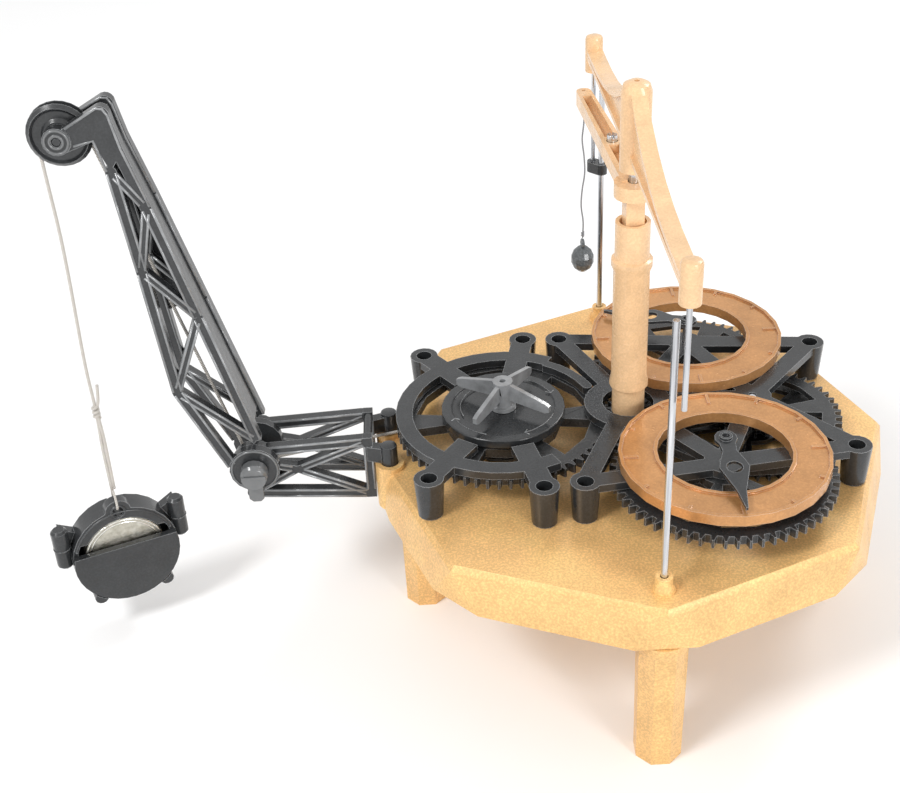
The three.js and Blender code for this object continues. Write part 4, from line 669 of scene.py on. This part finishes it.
def boom_face(side, depth):
    """Turns x and z into a place on a face of the boom's side; depth counts from its inner face."""
    return lambda x, z: at(x, STRING_Y + side * (BOOM_INNER + depth - BOOM_LEAN * (z - PIVOT[1])), z)


def boom_ribs():
    l0, l1, l2, l3 = BOOM_LEFT
    r0, r1, r2 = BOOM_RIGHT
    lines = []
    for a, b in [(l0, l1), (l1, l2), (l2, l3), (r0, r1), (r1, r2)]:
        lines += rib_pair(a, b, 3.0, 0.4)
    for a, b in [(l1, r0), (l1, r1), (r1, l2), (l2, r2), (r2, l3)]:
        lines += rib_pair(a, b, 2.3, 1.5)
    return lines + [BOOM_OVER, BOOM_UNDER]


def ribs_piece(name, lines, faces, body):
    placed = [[place(x, z) for x, z in line] for place in faces for line in lines]
    # The ribs' light grey paints their highlight.
    new_piece(name, tubes_mesh(name, placed, RIB * MM, 10), body, black_painted_highlight)


boom_faces = [boom_face(-1, BOOM_THICK), boom_face(1, BOOM_THICK), boom_face(1, 0)]
ribs_piece("boom_ribs", boom_ribs(), boom_faces, "boom")
print("rib lines:", len(boom_ribs()), "on each boom face")

# %% [markdown]
# ## Raised ribs on the arm
# The arm's two sides stand upright and side by side, so its ribs need only the faces' depths. A bar
# is written as its two ends and its width.

# %% Arm ribs
ARM_TRIM = 1.6
ARM_FACES = [-7.8, 5.2, 7.8]
ARM_BARS = [
    ((-107.8, 6.9), (-75.3, 8.4), 2.8), ((-110, -7.4), (-75.3, -9.8), 2.8),
    ((-75.3, -9.8), (-75.3, 8.4), 2.8), ((-75.3, 8.4), (-96, 0.2), 2.2),
    ((-96, 0.2), (-110, -7.4), 2.2), ((-96, 0.2), (-75.3, -9.8), 2.2), ((-96, 0.2), (-107.8, 3.2), 2.2),
]


def arm_face(y):
    return lambda x, z: at(x, y, z)


arm_lines = [line for a, b, width in ARM_BARS for line in rib_pair(a, b, width, ARM_TRIM)]
ribs_piece("arm_ribs", arm_lines, [arm_face(y) for y in ARM_FACES], "stand")
print("rib lines:", len(arm_lines), "on each arm face")

# %% [markdown]
# ## Rings on the bosses
# Turned rings stand on the pivot and axle bosses. They are closed tubes, sunk to half their depth.

# %% Boss rings
BOSS_FACE = -11.2
AXLE_FACE = 3.1


def ring_piece(name, rings, radius, body, material):
    new_piece(name, tubes_mesh(name, rings, radius * MM, 10, closed=True), body, material)


def boss_ring(radius, y):
    return ring_points(lambda a, b: at(PIVOT[0] + a, y, PIVOT[1] + b), radius)


def axle_ring(radius, side):
    face = boom_face(side, AXLE_FACE)
    return ring_points(lambda a, b: face(AXLE[0] + a, AXLE[1] + b), radius)


boss_circles = [boss_ring(6.5, BOSS_FACE), axle_ring(3.0, -1), axle_ring(1.7, -1), axle_ring(3.0, 1)]
# The rings' lighter black paints their sheen.
ring_piece("boss_rings", boss_circles, 0.35, "boom", glossy_black_painted_sheen)
print("boss rings:", len(boss_circles))

# %% [markdown]
# ## The knob's stepped face
# The lower part of the knob's face stands proud below a straight edge, where a thumb pushes. It is
# a flat slice of a disc: one outline, drawn in front and behind and joined round its edge.

# %% Knob face
KNOB_R = 3.55
KNOB_START = math.radians(166)
KNOB_SWEEP = math.radians(208)
KNOB_STEPS = 24
KNOB_FRONT = -16.0
KNOB_BACK = -15.3


def knob_face():
    bm = bmesh.new()
    angles = [KNOB_START + KNOB_SWEEP * i / KNOB_STEPS for i in range(KNOB_STEPS + 1)]
    outline = [(KNOB_R * math.cos(a), KNOB_R * math.sin(a)) for a in angles]
    front = [bm.verts.new(at(PIVOT[0] + x, KNOB_FRONT, PIVOT[1] + z)) for x, z in outline]
    back = [bm.verts.new(at(PIVOT[0] + x, KNOB_BACK, PIVOT[1] + z)) for x, z in outline]
    bm.faces.new(front)
    bm.faces.new(back[::-1])
    for i in range(len(outline)):
        j = (i + 1) % len(outline)
        bm.faces.new((front[i], back[i], back[j], front[j]))
    # The knob face's lighter black paints its sheen.
    piece = new_piece("knob_face", finish_mesh("knob_face", bm), "lever", glossy_black_painted_sheen)
    soften(piece, 0.3)


knob_face()
print("knob face made")

# %% [markdown]
# ## Marks on the drum's disc
# Fine raised arcs, three of them with a barb, show which way the drum is wound. Engraved lines would
# need cuts in the solid, while raised ones are thin tubes laid on it.

# %% Disc marks
DRUM_AT = (-36.0, 0.0)
DISC_TOP = 13.12
INNER_ARC = 12.3
OUTER_ARC = 15.0
BARB = [(16.4, 3), (15.0, 0), (14.0, 5)]


def on_disc(a, b):
    return at(DRUM_AT[0] + a, DRUM_AT[1] + b, DISC_TOP)


def disc_point(radius, degrees):
    return on_disc(radius * math.cos(math.radians(degrees)), radius * math.sin(math.radians(degrees)))


def disc_marks():
    lines = [ring_points(on_disc, INNER_ARC, steps=30, start=70, sweep=130)]
    for start in (20, 200, 290):
        lines.append(ring_points(on_disc, OUTER_ARC, steps=20, start=start, sweep=48))
        lines.append([disc_point(radius, start + ahead) for radius, ahead in BARB])
    new_piece("disc_marks", tubes_mesh("disc_marks", lines, 0.14 * MM, 8), "drum", charcoal)


disc_marks()
print("disc marks made")

# %% [markdown]
# ## Details of the coin holder
# The holder hangs turned a little to the side, so its places are written from its own middle and
# turned with it. Its side clips are hinged barrels, so a thin seam goes round each. The tray has a
# raised lip round its opening, the coin two bright rings inside its rim; its field stays plain.

# %% Coin holder details
YAW = math.radians(22)
EYE_AHEAD = 0.4
COIN_BELOW = 15.1
CLIP_AT = 17.6
CLIP_BACK = 1.4
CLIP_BELOW = 9.5
TRAY_FACE = -2.0


def on_holder(x, y, z):
    """A place on the coin holder: x to its side, y from its middle to its back, z above the hook."""
    back = y + EYE_AHEAD
    across, behind = math.cos(YAW), math.sin(YAW)
    return at(HOOK_X + x * across - back * behind, STRING_Y + x * behind + back * across, HOOK_Z + z)


def holder_circle(radius, y, start=0.0, sweep=360.0, steps=48):
    return ring_points(lambda a, b: on_holder(a, y, b - COIN_BELOW), radius, steps=steps, start=start,
                       sweep=sweep)


def clip_seam(side):
    return ring_points(lambda a, b: on_holder(side * CLIP_AT + a, CLIP_BACK + b, -CLIP_BELOW), 2.45,
                       steps=24)


ring_piece("clip_seams", [clip_seam(-1), clip_seam(1)], 0.22, "weight", charcoal)
lip_line = holder_circle(14.9, TRAY_FACE, 18, 144, 40)
new_piece("tray_lip", tubes_mesh("tray_lip", [lip_line], 0.35 * MM, 10), "weight", charcoal)
coin_circles = [holder_circle(11.6, -1.75), holder_circle(10.5, -1.5)]
ring_piece("coin_rings", coin_circles, 0.24, "weight", coin_bright)
eye_circle = ring_points(lambda a, b: on_holder(a, TRAY_FACE, b), 2.1, steps=28)
ring_piece("eye_ring", [eye_circle], 0.35, "weight", charcoal)
print("coin holder dressed")

# %% [markdown]
# ## Floor
# The floor is pale and plain and reaches far past the view. It is a real surface, not a backdrop, so
# the clock's soft shadow falls on it. It is stage, and no piece of the clock.

# %% Floor
FLOOR_REACH = 4.0
FLOOR_TONE = (0.93, 0.93, 0.93, 1)


def floor():
    bm = bmesh.new()
    bmesh.ops.create_grid(bm, x_segments=1, y_segments=1, size=FLOOR_REACH)
    piece = bpy.data.objects.new("floor", finish_mesh("floor", bm, smooth=False))
    bpy.context.scene.collection.objects.link(piece)
    material, _, surface = shader("pale floor")
    surface.inputs["Base Color"].default_value = FLOOR_TONE
    surface.inputs["Roughness"].default_value = 0.9
    surface.inputs["Specular IOR Level"].default_value = 0.0
    piece.data.materials.append(material)


floor()
print("floor reaches", FLOOR_REACH, "m each way")

# %% [markdown]
# ## Light
# Light comes from all round, like in a photographer's tent. What the camera or a shiny part sees of
# the tent is plain white, while the light that it gives is softer, so that no colour washes out.
# The front right lamp makes the plate's right edges pale, as in the photograph, and the one at the
# upper left draws a line of light along the black parts' edges.

# %% White surroundings and lamps
TENT_LIGHT = 0.67
LAMPS = [
    ("front right lamp", (0.75, -1.1, 0.5), (0, 0, 0.06), 0.5, 8),
    ("upper left lamp", (-0.75, -0.6, 1.1), (0, 0, 0.08), 0.4, 10),
    ("back lamp", (0.7, 0.7, 0.9), (0, 0, 0.08), 0.35, 4),
]


def white_surroundings(level):
    world = bpy.data.worlds.new("studio")
    bpy.context.scene.world = world
    world.use_nodes = True
    tree = world.node_tree
    tree.nodes.clear()
    rays = tree.nodes.new("ShaderNodeLightPath")
    seen = rays.outputs["Is Camera Ray"]
    for kind in ("Is Glossy Ray", "Is Transmission Ray"):
        either = node(tree, "ShaderNodeMath", operation="MAXIMUM")
        tree.links.new(seen, either.inputs[0])
        tree.links.new(rays.outputs[kind], either.inputs[1])
        seen = either.outputs["Value"]
    glow = tree.nodes.new("ShaderNodeBackground")
    glow.inputs["Color"].default_value = (1, 1, 1, 1)
    tree.links.new(remap(tree, seen, (0.0, 1.0), (level, 1.0)), glow.inputs["Strength"])
    out = tree.nodes.new("ShaderNodeOutputWorld")
    tree.links.new(glow.outputs["Background"], out.inputs["Surface"])


def soft_lamp(name, place, target, size, power):
    data = bpy.data.lights.new(name, "AREA")
    data.energy = power
    data.shape = "DISK"
    data.size = size
    lamp = bpy.data.objects.new(name, data)
    bpy.context.scene.collection.objects.link(lamp)
    lamp.location = place
    aim = Vector(target) - Vector(place)
    lamp.rotation_euler = aim.to_track_quat("-Z", "Y").to_euler()


white_surroundings(TENT_LIGHT)
for lamp in LAMPS:
    soft_lamp(*lamp)
bpy.context.scene.view_settings.view_transform = "Standard"
print("stage ready with", len(LAMPS), "lamps")
